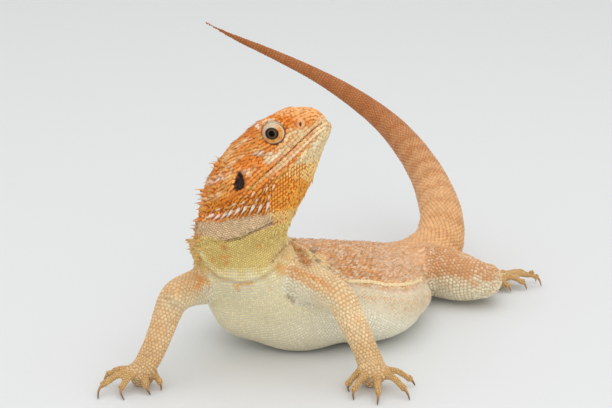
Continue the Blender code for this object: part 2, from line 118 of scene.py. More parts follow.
LIMBS = {
    "arm_left": [(-22, -24, 34.5, 9.8), (-14, -32, 35, 9), (-4.5, -42.5, 33.6, 7.3), (2.8, -49.5, 31.6, 6.4),
                 (7.4, -53.5, 24, 5.7), (11.8, -58, 15.5, 5), (14.6, -61.5, 9, 4.8), (16, -64.4, 6.7, 4.2)],
    "arm_right": [(-44, -20, 29.5, 8.7), (-49.5, -29, 30.2, 7.7), (-56.2, -41, 32, 6.6),
                  (-60.4, -48.5, 31, 6), (-63.2, -53, 24, 5.5), (-66.4, -57, 16, 4.9),
                  (-70, -60.5, 9.3, 4.7), (-73, -62.6, 6.6, 4.2)],
    "leg_left": [(40, 57, 13, 11.2), (49, 49, 12.5, 11.5), (58, 42, 11.8, 10.5), (66.5, 39, 11.4, 7.8),
                 (69, 45, 10.6, 6.5), (66.5, 55, 8.6, 5.5), (66, 61.5, 6.6, 4.7), (71, 64, 5.2, 4.1),
                 (76.8, 64.6, 5, 3.4)],
    "leg_right": [(28, 72, 10.5, 9.1), (18, 80, 8.8, 8.3), (9, 86, 7.6, 7.1), (2, 90.5, 6.4, 5.9),
                  (4.5, 96.5, 6, 5.1), (8.5, 101.5, 5.4, 4.5), (8, 106, 4.8, 4.2), (4, 109, 4.2, 4.1),
                  (0, 111, 3.9, 4.1)],
}
DIGITS = {
    "hand_left": [((11.4, -60.2, 5.9), (6.4, -64.6, 3.1)), ((12.9, -65.2, 6.3), (8.4, -71.4, 3.5)),
                  ((16.6, -66.2, 6.4), (16.7, -75.2, 3.6)), ((19.6, -65.0, 6.3), (25.9, -70.8, 3.6)),
                  ((20.8, -60.0, 6.2), (28.4, -60.6, 3.6))],
    "hand_right": [((-69.4, -59.4, 6.0), (-65.3, -63.2, 3.3)), ((-71.2, -62.8, 6.2), (-69.9, -67.4, 3.5)),
                   ((-74.0, -64.4, 6.3), (-78.1, -69.8, 3.7)), ((-76.2, -63.4, 6.3), (-84.9, -68.0, 4.0)),
                   ((-77.0, -60.0, 6.5), (-83.8, -59.4, 4.8))],
    "foot_left": [((73.6, 61.2, 4.8), (78.8, 59.0, 3.3)), ((76.6, 63.2, 5.3), (85.6, 62.6, 3.8)),
                  ((78.6, 65.4, 5.5), (92.2, 67.4, 4.6)), ((78.6, 67.8, 5.4), (91.0, 73.6, 4.4)),
                  ((75.2, 68.6, 4.8), (81.0, 76.0, 3.4))],
    "foot_right": [((1.5, 106.0, 4.2), (-2.0, 103.5, 3.0)), ((-0.8, 108.6, 4.6), (-7.5, 106.6, 3.2)),
                   ((-1.2, 111.0, 4.8), (-12.4, 112.6, 3.8)), ((0.6, 113.0, 4.6), (-10.4, 119.6, 3.6)),
                   ((4.0, 112.4, 4.2), (0.6, 119.8, 3.0))],
}
FINGER = 1.6
KNUCKLE_RISE = np.array((0, 0, 1.3))
print("stations:", len(SPINE), "on the spine,", len(HEAD), "in the head,", len(LIMBS), "limbs")

# %% [markdown]
# The stations could be joined by straight lines, but then markings and rows would break at each of them. So
# we lay smooth curves through them and cut those into even steps of a millimetre. Each step keeps the way
# along the bone, a top and a side, so that later cells can walk along the bone and look round it.

# %% Curves through the stations
FINE_CUTS = 20


def curve_through(rows, step):
    """A smooth curve through rows of numbers, cut into even lengths of about one step."""
    rows = np.array(rows, float)
    ends = np.vstack([2 * rows[0] - rows[1], rows, 2 * rows[-1] - rows[-2]])
    fine = []
    for a, b, c, d in zip(ends, ends[1:], ends[2:], ends[3:]):
        t = (np.arange(FINE_CUTS) / FINE_CUTS)[:, None]
        fine.append(0.5 * (2 * b + (c - a) * t + (2 * a - 5 * b + 4 * c - d) * t**2
                           + (3 * b - a - 3 * c + d) * t**3))
    fine = np.vstack([*fine, rows[-1:]])
    run = np.concatenate([[0], np.cumsum(np.linalg.norm(np.diff(fine[:, :3], axis=0), axis=1))])
    even = np.linspace(0, run[-1], max(3, round(run[-1] / step) + 1))
    return even, np.stack([np.interp(even, run, column) for column in fine.T], axis=1)


def unit(ways):
    """Ways of length one."""
    return ways / np.maximum(np.linalg.norm(ways, axis=-1, keepdims=True), 1e-12)


def make_bone(rows, top, step=1.0):
    """A bone: run along it, centres, half thickness, and its three ways at each centre."""
    run, curve = curve_through(rows, step)
    centre = curve[:, :3]
    along = unit(np.gradient(centre, axis=0))
    tops = [unit(np.array(top, float) - along[0] * (along[0] @ np.array(top, float)))]
    for way in along[1:]:
        tops.append(unit(tops[-1] - way * (way @ tops[-1])))
    tops = np.array(tops)
    return {"run": run, "centre": centre, "size": curve[:, 3], "along": along, "top": tops,
            "side": np.cross(along, tops)}


def at_run(bone, key, run):
    """One of a bone's values at a run along it, or at many."""
    value = bone[key]
    if value.ndim == 1:
        return np.interp(run, bone["run"], value)
    return np.array([np.interp(run, bone["run"], column) for column in value.T])


bones = {"head": make_bone(HEAD, UP), "spine": make_bone(SPINE, UP)}
# Round the spine the angle is counted from straight up, also where the tail rises.
spine = bones["spine"]
spine["top"] = unit(np.array((0, 0, 1.0)) - spine["along"] * spine["along"][:, 2:])
spine["side"] = np.cross(spine["along"], spine["top"])
for name, rows in LIMBS.items():
    bones[name] = make_bone(rows, (0, 0, 1))
for name, pairs in DIGITS.items():
    for number, (knuckle, end) in enumerate(pairs, 1):
        middle = (np.array(knuckle) + np.array(end)) / 2 + KNUCKLE_RISE
        rows = [(*knuckle, FINGER * 1.2), (*middle, FINGER * 1.05), (*end, FINGER)]
        bones[f"{name}_{number}"] = make_bone(rows, (0, 0, 1))
bone_names = list(bones)
HEAD_BONE, SPINE_BONE = bone_names.index("head"), bone_names.index("spine")
print("bones:", len(bones), "longest run:", round(max(bone["run"][-1] for bone in bones.values()), 1), "mm")

# %% [markdown]
# Every place on the skin belongs to the bone whose flesh it is nearest to. The helper below answers that for
# many places at once, and also says how far along the bone each place is and how far round it. Markings and
# scales both ask it, so they agree.

# %% Which bone, how far along, how far round
CHUNK = 64
joined = {key: np.concatenate([bone[key] for bone in bones.values()])
          for key in ("run", "centre", "size", "along", "top", "side")}
joined["bone"] = np.concatenate([np.full(len(bone["run"]), i) for i, bone in enumerate(bones.values())])


def locate(places):
    """For many places: the bone's number, the run along it, the angle round it, and the gap to its flesh."""
    best = np.full(len(places), np.inf)
    index = np.zeros(len(places), int)
    for start in range(0, len(joined["centre"]), CHUNK):
        part = slice(start, start + CHUNK)
        away = places[:, None, :] - joined["centre"][None, part]
        gap = np.linalg.norm(away, axis=2) - joined["size"][None, part]
        near = gap.argmin(1)
        value = gap[np.arange(len(places)), near]
        better = value < best
        best[better] = value[better]
        index[better] = near[better] + start
    away = places - joined["centre"][index]
    angle = np.arctan2((away * joined["side"][index]).sum(1), (away * joined["top"][index]).sum(1))
    return joined["bone"][index], joined["run"][index], angle, best


def size_at(bone_at, run):
    """The half thickness of the bones at many places."""
    size = np.zeros(len(run))
    for i, bone in enumerate(bones.values()):
        mine = bone_at == i
        size[mine] = at_run(bone, "size", run[mine])
    return size


snout_bone, snout_run, _, _ = locate(SNOUT[None])
print("the snout belongs to the", bone_names[snout_bone[0]], "at run", snout_run[0])

# %% [markdown]
# The solids were parted by thin cuts, and their faces are broad and flat. Real skin has neither. It could be
# sculpted anew, but then it would stray from the solids, so we join copies of all flesh solids and let a
# voxel remesh close the cuts. Balls fill the eye sockets and round the ends of the fingers.

# %% One skin over all the flesh
EYE_PLACES = {"right": in_head(16.1, 8.2, 10.3), "left": in_head(16.1, -8.2, 10.3)}
EYE_SIZE = 4.1
SOCKET_SIZE, FINGER_END = EYE_SIZE + 0.6, 1.55
VOXEL = 0.8
WELD = 1e-6
SKIN_DEPTH = 0.30


def add_object(name, mesh):
    """A new object of the scene."""
    made = bpy.data.objects.new(name, mesh)
    bpy.context.collection.objects.link(made)
    return made


def join_all(pieces, name, quads=False):
    """Join pieces into one and weld its places."""
    bpy.ops.object.select_all(action="DESELECT")
    for piece in pieces:
        piece.select_set(True)
    bpy.context.view_layer.objects.active = pieces[0]
    bpy.ops.object.join()
    whole = bpy.context.object
    whole.name = whole.data.name = name
    bpy.ops.object.mode_set(mode="EDIT")
    bpy.ops.mesh.select_all(action="SELECT")
    bpy.ops.mesh.remove_doubles(threshold=WELD)
    if quads:
        bpy.ops.mesh.tris_convert_to_quads()
    bpy.ops.object.mode_set(mode="OBJECT")
    return whole


flesh_names = sorted(name for name in nodes if not name.startswith(("eye", "claw")))
copies = [add_object("flesh", nodes[name].data.copy()) for name in flesh_names]
finger_ends = [np.array(end) + 0.7 * unit(np.array(end) - knuckle) for pairs in DIGITS.values()
               for knuckle, end in pairs]
balls = [(place, SOCKET_SIZE) for place in EYE_PLACES.values()]
balls += [(place, FINGER_END) for place in finger_ends]
for place, size in balls:
    bpy.ops.mesh.primitive_uv_sphere_add(segments=32, ring_count=20, radius=size * MM,
                                         location=Vector(place) * MM)
    bpy.ops.object.transform_apply(location=True)
    copies.append(bpy.context.object)
skin = join_all(copies, "skin")
remesh = skin.modifiers.new("one skin", "REMESH")
remesh.mode = "VOXEL"
remesh.voxel_size = VOXEL * MM
bpy.ops.object.modifier_apply(modifier=remesh.name)
skin.data.materials.clear()
print("skin:", len(skin.data.vertices), "places after the remesh")

# %% [markdown]
# The smoothing is done on all places at once, as lists of numbers, because that is far quicker than moving
# one after another. It needs a few helpers that read a mesh in millimetres and write it back. Blender's own
# smoothing would shrink the slim parts, so each round goes forward and then a little back, and its strength
# follows the thickness of the flesh.

# %% Smooth the skin
FORTH, BACK = 0.55, -0.57


def places_of(mesh):
    """All vertex places of a mesh, in millimetres."""
    flat = np.empty(len(mesh.vertices) * 3)
    mesh.vertices.foreach_get("co", flat)
    return flat.reshape(-1, 3) / MM


def normals_of(mesh):
    """All vertex normals of a mesh."""
    flat = np.empty(len(mesh.vertices) * 3)
    mesh.vertex_normals.foreach_get("vector", flat)
    return flat.reshape(-1, 3)


def move_to(mesh, places):
    """Put all vertices of a mesh at places in millimetres."""
    mesh.vertices.foreach_set("co", (places * MM).ravel())
    mesh.update()


def smooth_out(mesh, strength, rounds):
    """Smooth forward and a little back, so that the form keeps its volume."""
    places = places_of(mesh)
    ends = np.empty(len(mesh.edges) * 2, int)
    mesh.edges.foreach_get("vertices", ends)
    one, two = ends.reshape(-1, 2).T
    count = np.bincount(np.concatenate([one, two]), minlength=len(places)).astype(float)[:, None]
    for factor in (FORTH, BACK) * rounds:
        sums = [np.bincount(one, column[two], len(places)) + np.bincount(two, column[one], len(places))
                for column in places.T]
        places = places + (np.stack(sums, axis=1) / count - places) * factor * strength
    move_to(mesh, places)


bone_at, run_at, _, _ = locate(places_of(skin.data))
smooth_out(skin.data, np.clip((size_at(bone_at, run_at) - 1.0) / 9.0, 0.12, 1.0)[:, None], 60)
print("skin:", len(skin.data.polygons), "faces")

# %% [markdown]
# Many places are easiest to read off the picture. The helpers below say where a place shows, how near it is
# to a brush stroke there, and whether it is inside an outline. The head is the same on both sides, so its
# left side is painted by the mirrored place on its right side.

# %% Strokes and outlines
TURN = np.array(TILT)
CAMERA_RIGHT, CAMERA_UP = TURN[:, 0], TURN[:, 1]
TO_CAMERA = np.array(-sight(IMAGE[0] / 2, IMAGE[1] / 2))


def shown_at(places):
    """Where places show in the picture, as columns and rows."""
    away = (places - np.array(CAMERA_PLACE)) @ TURN
    return np.stack([IMAGE[0] / 2 - away[:, 0] / away[:, 2] * PIXELS,
                     IMAGE[1] / 2 + away[:, 1] / away[:, 2] * PIXELS], axis=1)


def mirrored(places):
    """Places of the head's left side, moved to the same place on its right side."""
    _, right, _ = head_frame(places)
    return places + RIGHT * (np.abs(right) - right)[:, None]


def swapped(places):
    """Places of the head on its other side."""
    return places - 2 * RIGHT * head_frame(places)[1][:, None]


def gap_to(shown, points):
    """How far places of the picture are from a line through points."""
    points = np.array(points, float)
    gap = np.linalg.norm(shown - points[0], axis=1)
    for one, two in zip(points, points[1:]):
        way = two - one
        t = np.clip(((shown - one) @ way) / (way @ way), 0, 1)
        gap = np.minimum(gap, np.linalg.norm(shown - one - t[:, None] * way, axis=1))
    return gap


def bell(gap, width):
    """1 where a gap is nothing, and falling off softly over a width."""
    return np.exp(-((gap / width) ** 2))


def stroke(shown, points, width):
    """A soft brush stroke of one width, from 0 to 1."""
    return bell(gap_to(shown, points), width)


def patch(shown, corners, soft=2.0):
    """1 inside an outline and 0 outside it, with a soft edge."""
    corners = np.array(corners, float)
    inside = np.zeros(len(shown), bool)
    for one, two in zip(corners, np.roll(corners, -1, axis=0)):
        crosses = (one[1] > shown[:, 1]) != (two[1] > shown[:, 1])
        reach = (two[0] - one[0]) * (shown[:, 1] - one[1]) / (two[1] - one[1] + 1e-9) + one[0]
        inside ^= crosses & (shown[:, 0] < reach)
    gap = gap_to(shown, np.vstack([corners, corners[:1]]))
    return ramp(np.where(inside, gap, -gap), -soft, soft)


def ramp(values, low, high):
    """0 below one value, 1 above another, and smooth between them."""
    t = np.clip((values - low) / (high - low), 0, 1)
    return t * t * (3 - 2 * t)


print("the snout shows at", shown_at(SNOUT[None]).round(1).tolist())

# %% [markdown]
# Colours are given as named values, as on a palette. Markings could be painted on a picture that is
# wrapped round the animal. Here they are a function of place instead, and the same function colours the skin
# and every scale, so markings run on without a break. Soft blotches come from a few crossed waves.

# %% Palette
def linear(red, green, blue):
    """A screen colour from 0 to 255 as light."""
    share = np.array((red, green, blue)) / 255
    return np.where(share <= 0.04045, share / 12.92, ((share + 0.055) / 1.055) ** 2.4)


ORANGE = linear(226, 142, 54)
VIVID = linear(224, 124, 16)
DEEP_ORANGE = linear(200, 104, 18)
RUST = linear(158, 84, 26)
AMBER = linear(232, 178, 96)
PEACH = linear(232, 178, 118)
CREAM = linear(238, 214, 166)
PALE = linear(240, 230, 200)
WHITE = linear(246, 242, 230)
LAVENDER = linear(218, 202, 178)
PINK_TAN = linear(222, 194, 156)
SALMON = linear(204, 146, 88)
OLIVE_YELLOW = linear(226, 202, 128)
OLIVE = linear(208, 178, 98)
CHEST_CREAM = linear(232, 218, 168)
BELLY_WHITE = linear(236, 230, 208)
BELLY_SHADE = linear(232, 224, 198)
TAN = linear(206, 166, 108)
DARK_TAN = linear(150, 108, 60)
FOLD_TAN = linear(196, 162, 118)
BACK_NET = linear(206, 144, 88)
TAIL_BROWN = linear(224, 172, 118)
TAIL_DARK = linear(202, 140, 84)
BROWN = linear(104, 62, 30)
DARK = linear(46, 30, 24)
# Tan for painted shade under the flank ridge.
SHADE_TAN_UNDER_RIDGE = linear(196, 170, 130)
TAIL_RUST = linear(172, 96, 36)
LIMB_CREAM = linear(228, 206, 166)
LIMB_NET = linear(222, 182, 130)
THIGH_NET = linear(220, 198, 158)
DIGIT_TAN = linear(206, 162, 92)
IRIS_BROWN = linear(70, 50, 42)
IRIS_GOLD = linear(136, 104, 66)
PUPIL_BLACK = linear(4, 3, 3)
LID_GREY = linear(210, 184, 160)
NOSTRIL_TAN = linear(226, 164, 110)
NOSTRIL_RUST = linear(206, 104, 48)
HORN_PALE = linear(176, 130, 76)
HORN_DARK = linear(96, 62, 34)


def waves(places, size, seed):
    """Soft blotches from -1 to 1 of about one size in millimetres."""
    source = np.random.default_rng(seed)
    total = np.zeros(len(places))
    for _ in range(7):
        way = source.normal(size=3)
        way *= 2 * pi / (size * (0.7 + 0.8 * source.random())) / np.linalg.norm(way)
        total += np.sin(places @ way + source.random() * 2 * pi)
    return np.clip(total / 3.2, -1, 1)


def blend_in(colour, other, share):
    """Mix another colour in by a share, or by a share at each place."""
    return colour + (other - colour) * np.clip(share, 0, 1)[..., None]


print("palette: orange as light", ORANGE.round(3).tolist())

# %% [markdown]
# The head's markings are a list of patches and strokes, from the broad ones to the fine ones. A patch gives a
# tint for the scales and one for the skin between them, because on a bearded dragon these differ: on the
# beard pale scales sit in orange skin. A stroke has a width and one tint, and each has a share of cover.
# A few dark lines are painted shade: in the slit of the mouth, and the shadow under the beard's edge.

# %% Markings of the head
HEAD_PATCHES = [
    ([(272.2, 114.4), (288.4, 104.0), (298.2, 102.0), (314, 104), (333, 116), (319.9, 118.7), (307.9, 118.7),
      (294.9, 120.9), (288.4, 116.0), (277.6, 117.1)],
     linear(236, 172, 108), linear(212, 132, 62), 0.85),
    ([(245.0, 135.5), (258.1, 121.4), (272.2, 114.9), (288.4, 116.6), (297.1, 121.4), (289.5, 127.4),
      (283.0, 130), (277.6, 123.1), (264.6, 120), (256, 127.9), (254.8, 140), (247, 142)],
     VIVID, DEEP_ORANGE, 0.85),
    ([(283.0, 141.0), (286.8, 133.4), (290.6, 127.9), (296.5, 129.0), (307.9, 127.4), (320.9, 117.1),
      (333, 119.3), (326.4, 124.7), (314.4, 131.2), (301.4, 138.8), (288.4, 150.7), (277.6, 159.4),
      (266.7, 164.8), (263.5, 160.5), (265.6, 155.0), (275.4, 150.7)],
     linear(224, 198, 150), linear(222, 162, 104), 0.9),
    ([(264.6, 155.6), (274.3, 151.3), (284.1, 150.7), (276.5, 159.4), (266.7, 165.3), (263.5, 160.5)],
     PALE, PINK_TAN, 0.55),
    ([(334, 119), (330.2, 133.4), (323.1, 155.0), (315.5, 168.1), (304.7, 163.7), (292.7, 164.8),
      (299.3, 154.0), (313.3, 142.0), (325.3, 127.9)],
     linear(230, 208, 160), linear(222, 196, 146), 0.92),
    ([(292.7, 164.8), (304.7, 163.7), (322, 160), (318, 190.8), (304, 207.1), (293, 219), (270.0, 226.6),
      (266.7, 209.3), (271.1, 187.6), (281.9, 173.5)],
     linear(238, 206, 132), linear(210, 126, 30), 0.92),
    ([(271.1, 183.2), (284.1, 176), (301.4, 178), (314, 182.2), (311, 196.2), (297.1, 207.1), (277.6, 211.4),
      (270.0, 207.1)],
     linear(236, 168, 52), linear(212, 104, 0), 0.92),
    ([(249.4, 193.0), (262.4, 184.3), (273.2, 182.2), (272.2, 207.1), (258.1, 216.8), (240.7, 216.8),
      (220.1, 213.6), (203, 212), (207.1, 202.7), (216.9, 198.4), (234.2, 196.2)],
     linear(240, 150, 24), linear(172, 90, 12), 0.92),
    ([(192, 221), (220.1, 221.5), (240.7, 217.0), (255.9, 214.2), (271.1, 213.6), (276, 224.6),
      (255.9, 233.1), (240.7, 239.1), (228.8, 241.8), (212, 239.1), (192, 234.0)], PINK_TAN, FOLD_TAN, 0.97),
    ([(188, 234), (212.5, 237.5), (226.6, 240.8), (250.5, 233.2), (273.2, 226.2), (298, 216), (299, 232),
      (277.6, 250), (272.2, 266), (183.3, 270), (182.2, 249.4)], OLIVE_YELLOW, OLIVE, 0.97),
]
FOLD, THROAT = (HEAD_PATCHES[i][0] for i in (8, 9))
HEAD_STROKES = [
    ([(250.5, 137.7), (240.7, 144.2), (232.0, 151.8), (224, 160)], 1.5, CREAM, 0.75),
    ([(245.0, 154.0), (236.4, 159.4), (228.8, 165.9)], 1.5, CREAM, 0.7),
    ([(231.0, 150.7), (223.4, 157.2), (217.9, 163.7)], 1.2, AMBER, 0.7),
    ([(227.7, 167), (221.2, 172.4)], 1.4, CREAM, 0.7),
    ([(224.4, 176.7), (216.9, 179.4), (210.4, 181.6)], 2.0, WHITE, 0.8),
    ([(220.1, 193.5), (212.5, 197.3), (206.3, 200.0)], 2.2, CREAM, 0.8),
    ([(204.9, 204.9), (198.5, 206.5)], 1.6, CREAM, 0.7),
    ([(255.9, 168.1), (247.2, 170.2)], 2.0, CREAM, 0.55),
    ([(240.7, 171.5), (249.4, 173.6)], 1.8, PALE, 0.7),
    ([(231.0, 169.1), (228.5, 176.7)], 2.2, CREAM, 0.6),
    ([(243, 195), (256, 186), (268, 176)], 1.2, AMBER, 0.5),
    ([(255.9, 142.0), (247.2, 148.5), (236.4, 157.2)], 1.7, VIVID, 0.8),
    ([(249.4, 160.5), (255.9, 158.4), (262.4, 159.4)], 3.6, VIVID, 0.85),
    ([(250.5, 165.8), (240.7, 168.1)], 1.8, VIVID, 0.6),
    ([(215.8, 187.6), (207.1, 194.1), (201.7, 198.4)], 3.0, ORANGE, 0.8),
    ([(240.7, 193.0), (232.0, 198.4), (221.2, 204.9)], 3.2, DEEP_ORANGE, 0.55),
    ([(255.9, 152.8), (265.6, 152.8)], 2.2, LAVENDER, 0.85),
    ([(296.5, 135.5), (288.4, 141.0), (280.8, 148.5), (274.3, 152.9)], 1.1, ORANGE, 0.85),
    ([(313.3, 129.6), (306.8, 133.9), (298.2, 143.1), (286.2, 154.0), (273.2, 162.6)],
     1.3, linear(220, 150, 96), 0.85),
    ([(322.0, 120.4), (313.3, 125.8), (307.9, 130.1)], 1.0, PEACH, 0.8),
    ([(326.4, 125.8), (311.2, 137.7), (300.3, 148.5), (288.4, 158.8), (277.6, 168.6), (268.9, 176.2)],
     2.6, linear(238, 218, 176), 0.85),
    ([(306.8, 146.4), (294.9, 159.4), (284.1, 167.5), (272.2, 175.6), (262.4, 183.2), (249.4, 194.6)],
     1.5, VIVID, 0.8),
    ([(326.3, 114.0), (328.0, 116.0)], 2.0, PEACH, 0.8),
    ([(327.0, 126.0), (328.0, 128.0)], 1.2, SALMON, 0.8),
    ([(317.5, 141.0), (315.0, 146.0)], 2.6, BELLY_SHADE, 0.6),
    ([(262.0, 122.5), (272.0, 119.5), (281.0, 124.0)], 1.3, PALE, 0.6),
    ([(257.5, 124.5), (259.5, 128.0)], 1.6, WHITE, 0.7),
    ([(197, 236), (189, 243), (185, 249)], 3.0, SALMON, 0.7),
    ([(196, 218), (194, 228), (192, 235)], 3.2, RUST, 0.85),
]
MOUTH = [(324.7, 121.7), (315.5, 127.4), (304.7, 137.2), (293.8, 147.5), (283.0, 157.8), (272.2, 167.5),
         (262.4, 176.2), (254.8, 183.2), (249.4, 189.2)]
# Dark lines of painted shade: the slit of the mouth, and the shadow under the beard's edge in its crease.
HEAD_SHADE_LINES = [
    (MOUTH, 0.8, BROWN, 0.8),
    ([(226.6, 241.2), (240.7, 238.5), (250.5, 233.1), (262.4, 227.7), (273.2, 223.6)], 1.1, BROWN, 0.8),
]


def head_colours(places):
    """Skin and scale colours on the head and beard."""
    places = mirrored(places)
    shown = shown_at(places)
    fine = waves(places, 2.4, 2)
    grain = waves(places, 5.0, 1)
    back, right, up = head_frame(places)
    streak = waves(np.stack([back * 0.25, right * 1.0, up - 0.05 * back], axis=1), 3.6, 3)
    skin_colour = DEEP_ORANGE
    scale = blend_in(ORANGE, VIVID, 0.6 * ramp(grain, 0.0, 0.8))
    scale = blend_in(scale, AMBER, 0.8 * ramp(streak, 0.0, 0.6))
    for corners, tint, between, share in HEAD_PATCHES:
        mask = patch(shown, corners) * share
        scale = blend_in(scale, tint, mask)
        skin_colour = blend_in(skin_colour, between, mask)
    for points, width, tint, share in HEAD_STROKES:
        mask = stroke(shown, points, width) * share
        scale = blend_in(scale, tint, mask)
        skin_colour = blend_in(skin_colour, tint * 0.8, mask * 0.6)
    # Painted shade along the mouth and under the beard's edge.
    for points, width, tint, share in HEAD_SHADE_LINES:
        mask = stroke(shown, points, width) * share
        skin_colour = blend_in(skin_colour, tint, mask)
        scale = blend_in(scale, tint, mask * 0.6)
    shade = (1 + 0.09 * fine)[:, None]
    return skin_colour * shade, scale * shade


# %% [markdown]
# The body's markings follow the spine and the limbs, so that they are the same on the side that the picture
# doesn't show. A few strokes are added where the picture shows them, on the throat, chest and shoulders.
# Some strokes are painted shade instead: at the bottom of the belly, in the armpit and in a crease before the
# shoulder.

# %% Markings of the body
BODY_STROKES_AND_SHADE = [
    ([(223, 246.5), (225, 248)], 3.0, DEEP_ORANGE, 0.7),
    ([(291, 247), (284, 254), (279.5, 261)], 9.0, linear(216, 182, 132), 0.8),
    # Painted shade in the crease before the shoulder.
    ([(294, 239.5), (286, 245.5), (278.5, 253.5), (273, 262)], 1.3, DARK_TAN, 0.8),
    ([(190, 284), (172, 292), (160, 318), (146, 348)], 18.0, linear(200, 150, 96), 0.45),
    # Painted shade along the bottom of the belly.
    ([(225, 335), (260, 345), (300, 347), (340, 345)], 12.0, linear(204, 190, 156), 0.4),
    ([(392, 262), (418, 264)], 18.0, linear(236, 196, 158), 0.4),
    ([(170, 304), (186, 302.5), (200, 296)], 9.0, linear(214, 198, 162), 0.8),
    ([(286, 283), (300, 290), (318, 300), (330, 304)], 8.0, linear(222, 210, 178), 0.7),
    # Painted shade in the armpit.
    ([(287.5, 296), (291, 299), (294, 303)], 1.2, BROWN, 0.8),
    ([(258, 245.5), (260, 246.5)], 1.8, ORANGE, 0.75),
    ([(274.1, 266.2), (288.4, 268.6), (307.6, 274.9), (323.5, 282.9), (333.1, 289.3)], 2.2, ORANGE, 0.6),
    ([(278.9, 271.7), (298.0, 278.1), (317.1, 289.3)], 1.8, ORANGE, 0.5),
    ([(275.7, 259.6), (291.6, 262.8), (310.7, 267.6), (323.5, 273.9)], 1.6, CREAM, 0.8),
    ([(293.6, 243.0), (299.0, 248.2), (303.8, 259.0), (307.0, 263.8)], 4.5, RUST, 0.6),
    ([(304, 250), (308, 262)], 2.5, SALMON, 0.6),
    ([(312.3, 251.0), (314, 252)], 2.6, BROWN, 0.85),
    ([(317.1, 260.6), (318, 261)], 2.6, BROWN, 0.85),
    ([(329.9, 267.0), (332, 268)], 2.4, BROWN, 0.7),
    ([(307.6, 241.5), (312, 243)], 2.0, BROWN, 0.4),
    ([(224.6, 263.8), (227, 262)], 1.8, ORANGE, 0.8),
    ([(212.7, 259.8), (213, 261)], 2.0, ORANGE, 0.8),
    ([(215.9, 274.1), (217, 275)], 1.7, ORANGE, 0.7),
    ([(219.9, 257.2), (228.8, 256.5)], 1.8, ORANGE, 0.75),
    ([(235.0, 286.1), (243.8, 283.7), (251.7, 282.9)], 1.9, AMBER, 0.8),
    ([(236.5, 287.5), (238.5, 290.5)], 1.5, ORANGE, 0.6),
    ([(197, 276.5), (201.5, 281), (196, 288)], 2.2, ORANGE, 0.75),
    ([(204, 278.5), (207, 282)], 2.0, AMBER, 0.7),
    ([(200.7, 252.6), (205.5, 262.2), (218.3, 273.9), (240.6, 279.5), (259.7, 275.5), (274.1, 264.4)],
     2.4, CHEST_CREAM, 0.8),
]
RIDGE = [(312.3, 257.8), (323.5, 268.0), (339.4, 277.6), (363.4, 281.6), (387.3, 284.8), (408.0, 283.7),
         (423.9, 278.1)]
FLANK_START = (38, 46)
# The ridge runs half way down until its place is found further below.
ridge_marks = {"run": np.array([0.0, 200.0]), "low": np.array([0.5, 0.5])}


def below_ridge(run, angle):
    """How far below the flank ridge places are, round the body."""
    low = np.abs(angle) / pi - np.interp(run, ridge_marks["run"], ridge_marks["low"])
    return low * pi * at_run(spine, "size", run)


def spine_colours(places, run, angle):
    """Skin and scale colours of the neck, trunk and tail."""
    middle = at_run(spine, "centre", run)[1]
    grain = waves(places, 7.0, 4)
    fine = waves(places, 3.0, 5)
    spots = waves(places, 2.7, 6)
    # The back is a net of orange round pale spots, with a few brown ones near the shoulders.
    scale = blend_in(SALMON, ORANGE, 0.3 * ramp(grain, -0.1, 0.7))
    scale = blend_in(scale, LAVENDER, 0.5 * ramp(spots, 0.1, 0.45))
    scale = blend_in(scale, DARK_TAN, 0.55 * ramp(-fine, 0.45, 0.8) * (1 - ramp(run, 70, 90)))
    # A cream ridge runs along the flank, with a broken orange line and a row of spots under it, and a tan
    # band of painted shade below it.
    below = below_ridge(run, angle)
    body = ramp(run, *FLANK_START) * (1 - ramp(run, 128, 142))
    belly = ramp(below + 0.5 * grain, 0.3, 1.8)
    flank = bell(below - 4.4, 1.7) * body
    scale = blend_in(scale, BELLY_WHITE, belly)
    skin_colour = blend_in(BACK_NET, BELLY_SHADE, belly)
    # Painted shade: a tan band under the overhang of the ridge.
    scale = blend_in(scale, SHADE_TAN_UNDER_RIDGE, bell(below - 4.5, 3.6) * body * 0.85)
    scale = blend_in(scale, SALMON, flank * ramp(spots, 0.1, 0.4) * 0.6)
    scale = blend_in(scale, CREAM, bell(below, 0.8) * body * 0.95)
    scale = blend_in(scale, DEEP_ORANGE, bell(below - 1.5, 0.5) * body * 0.4 * ramp(fine, -0.5, 0.3))
    skin_colour = blend_in(skin_colour, DEEP_ORANGE, bell(below - 1.5, 0.6) * body * 0.35)
    # The throat is olive yellow and fades into a cream chest.
    front = ramp(middle - places[:, 1], 2, 9) * (1 - ramp(run, 50, 66))
    throat = front * ramp(places[:, 2] + 2.5 * grain, 33, 42)
    scale = blend_in(scale, CHEST_CREAM, front)
    skin_colour = blend_in(skin_colour, BELLY_SHADE, front)
    scale = blend_in(scale, OLIVE_YELLOW, throat)
    skin_colour = blend_in(skin_colour, OLIVE, throat * 0.8)
    freckle = front * ramp(places[:, 2], 24, 40) * ramp(waves(places, 5.0, 7), 0.62, 0.85)
    scale = blend_in(scale, ORANGE, freckle * 0.5)
    # The tail is browner, with soft bands.
    tail = ramp(run, 140, 168)
    bands = np.sin(2 * pi * run / 12.0 + 0.9 * grain)
    tail_colour = blend_in(TAIL_BROWN, TAIL_DARK, ramp(bands, -0.2, 0.8) * (0.4 + 0.5 * ramp(run, 170, 250)))
    tail_colour = blend_in(tail_colour, PEACH, 0.35 * ramp(fine, 0.2, 0.7))
    tail_colour = blend_in(tail_colour, TAIL_RUST, 0.85 * ramp(run, 190, 300))
    # The tail's skin between the scales is its scale colour darkened, as painted shade.
    return blend_in(skin_colour, tail_colour * 0.86, tail), blend_in(scale, tail_colour, tail)


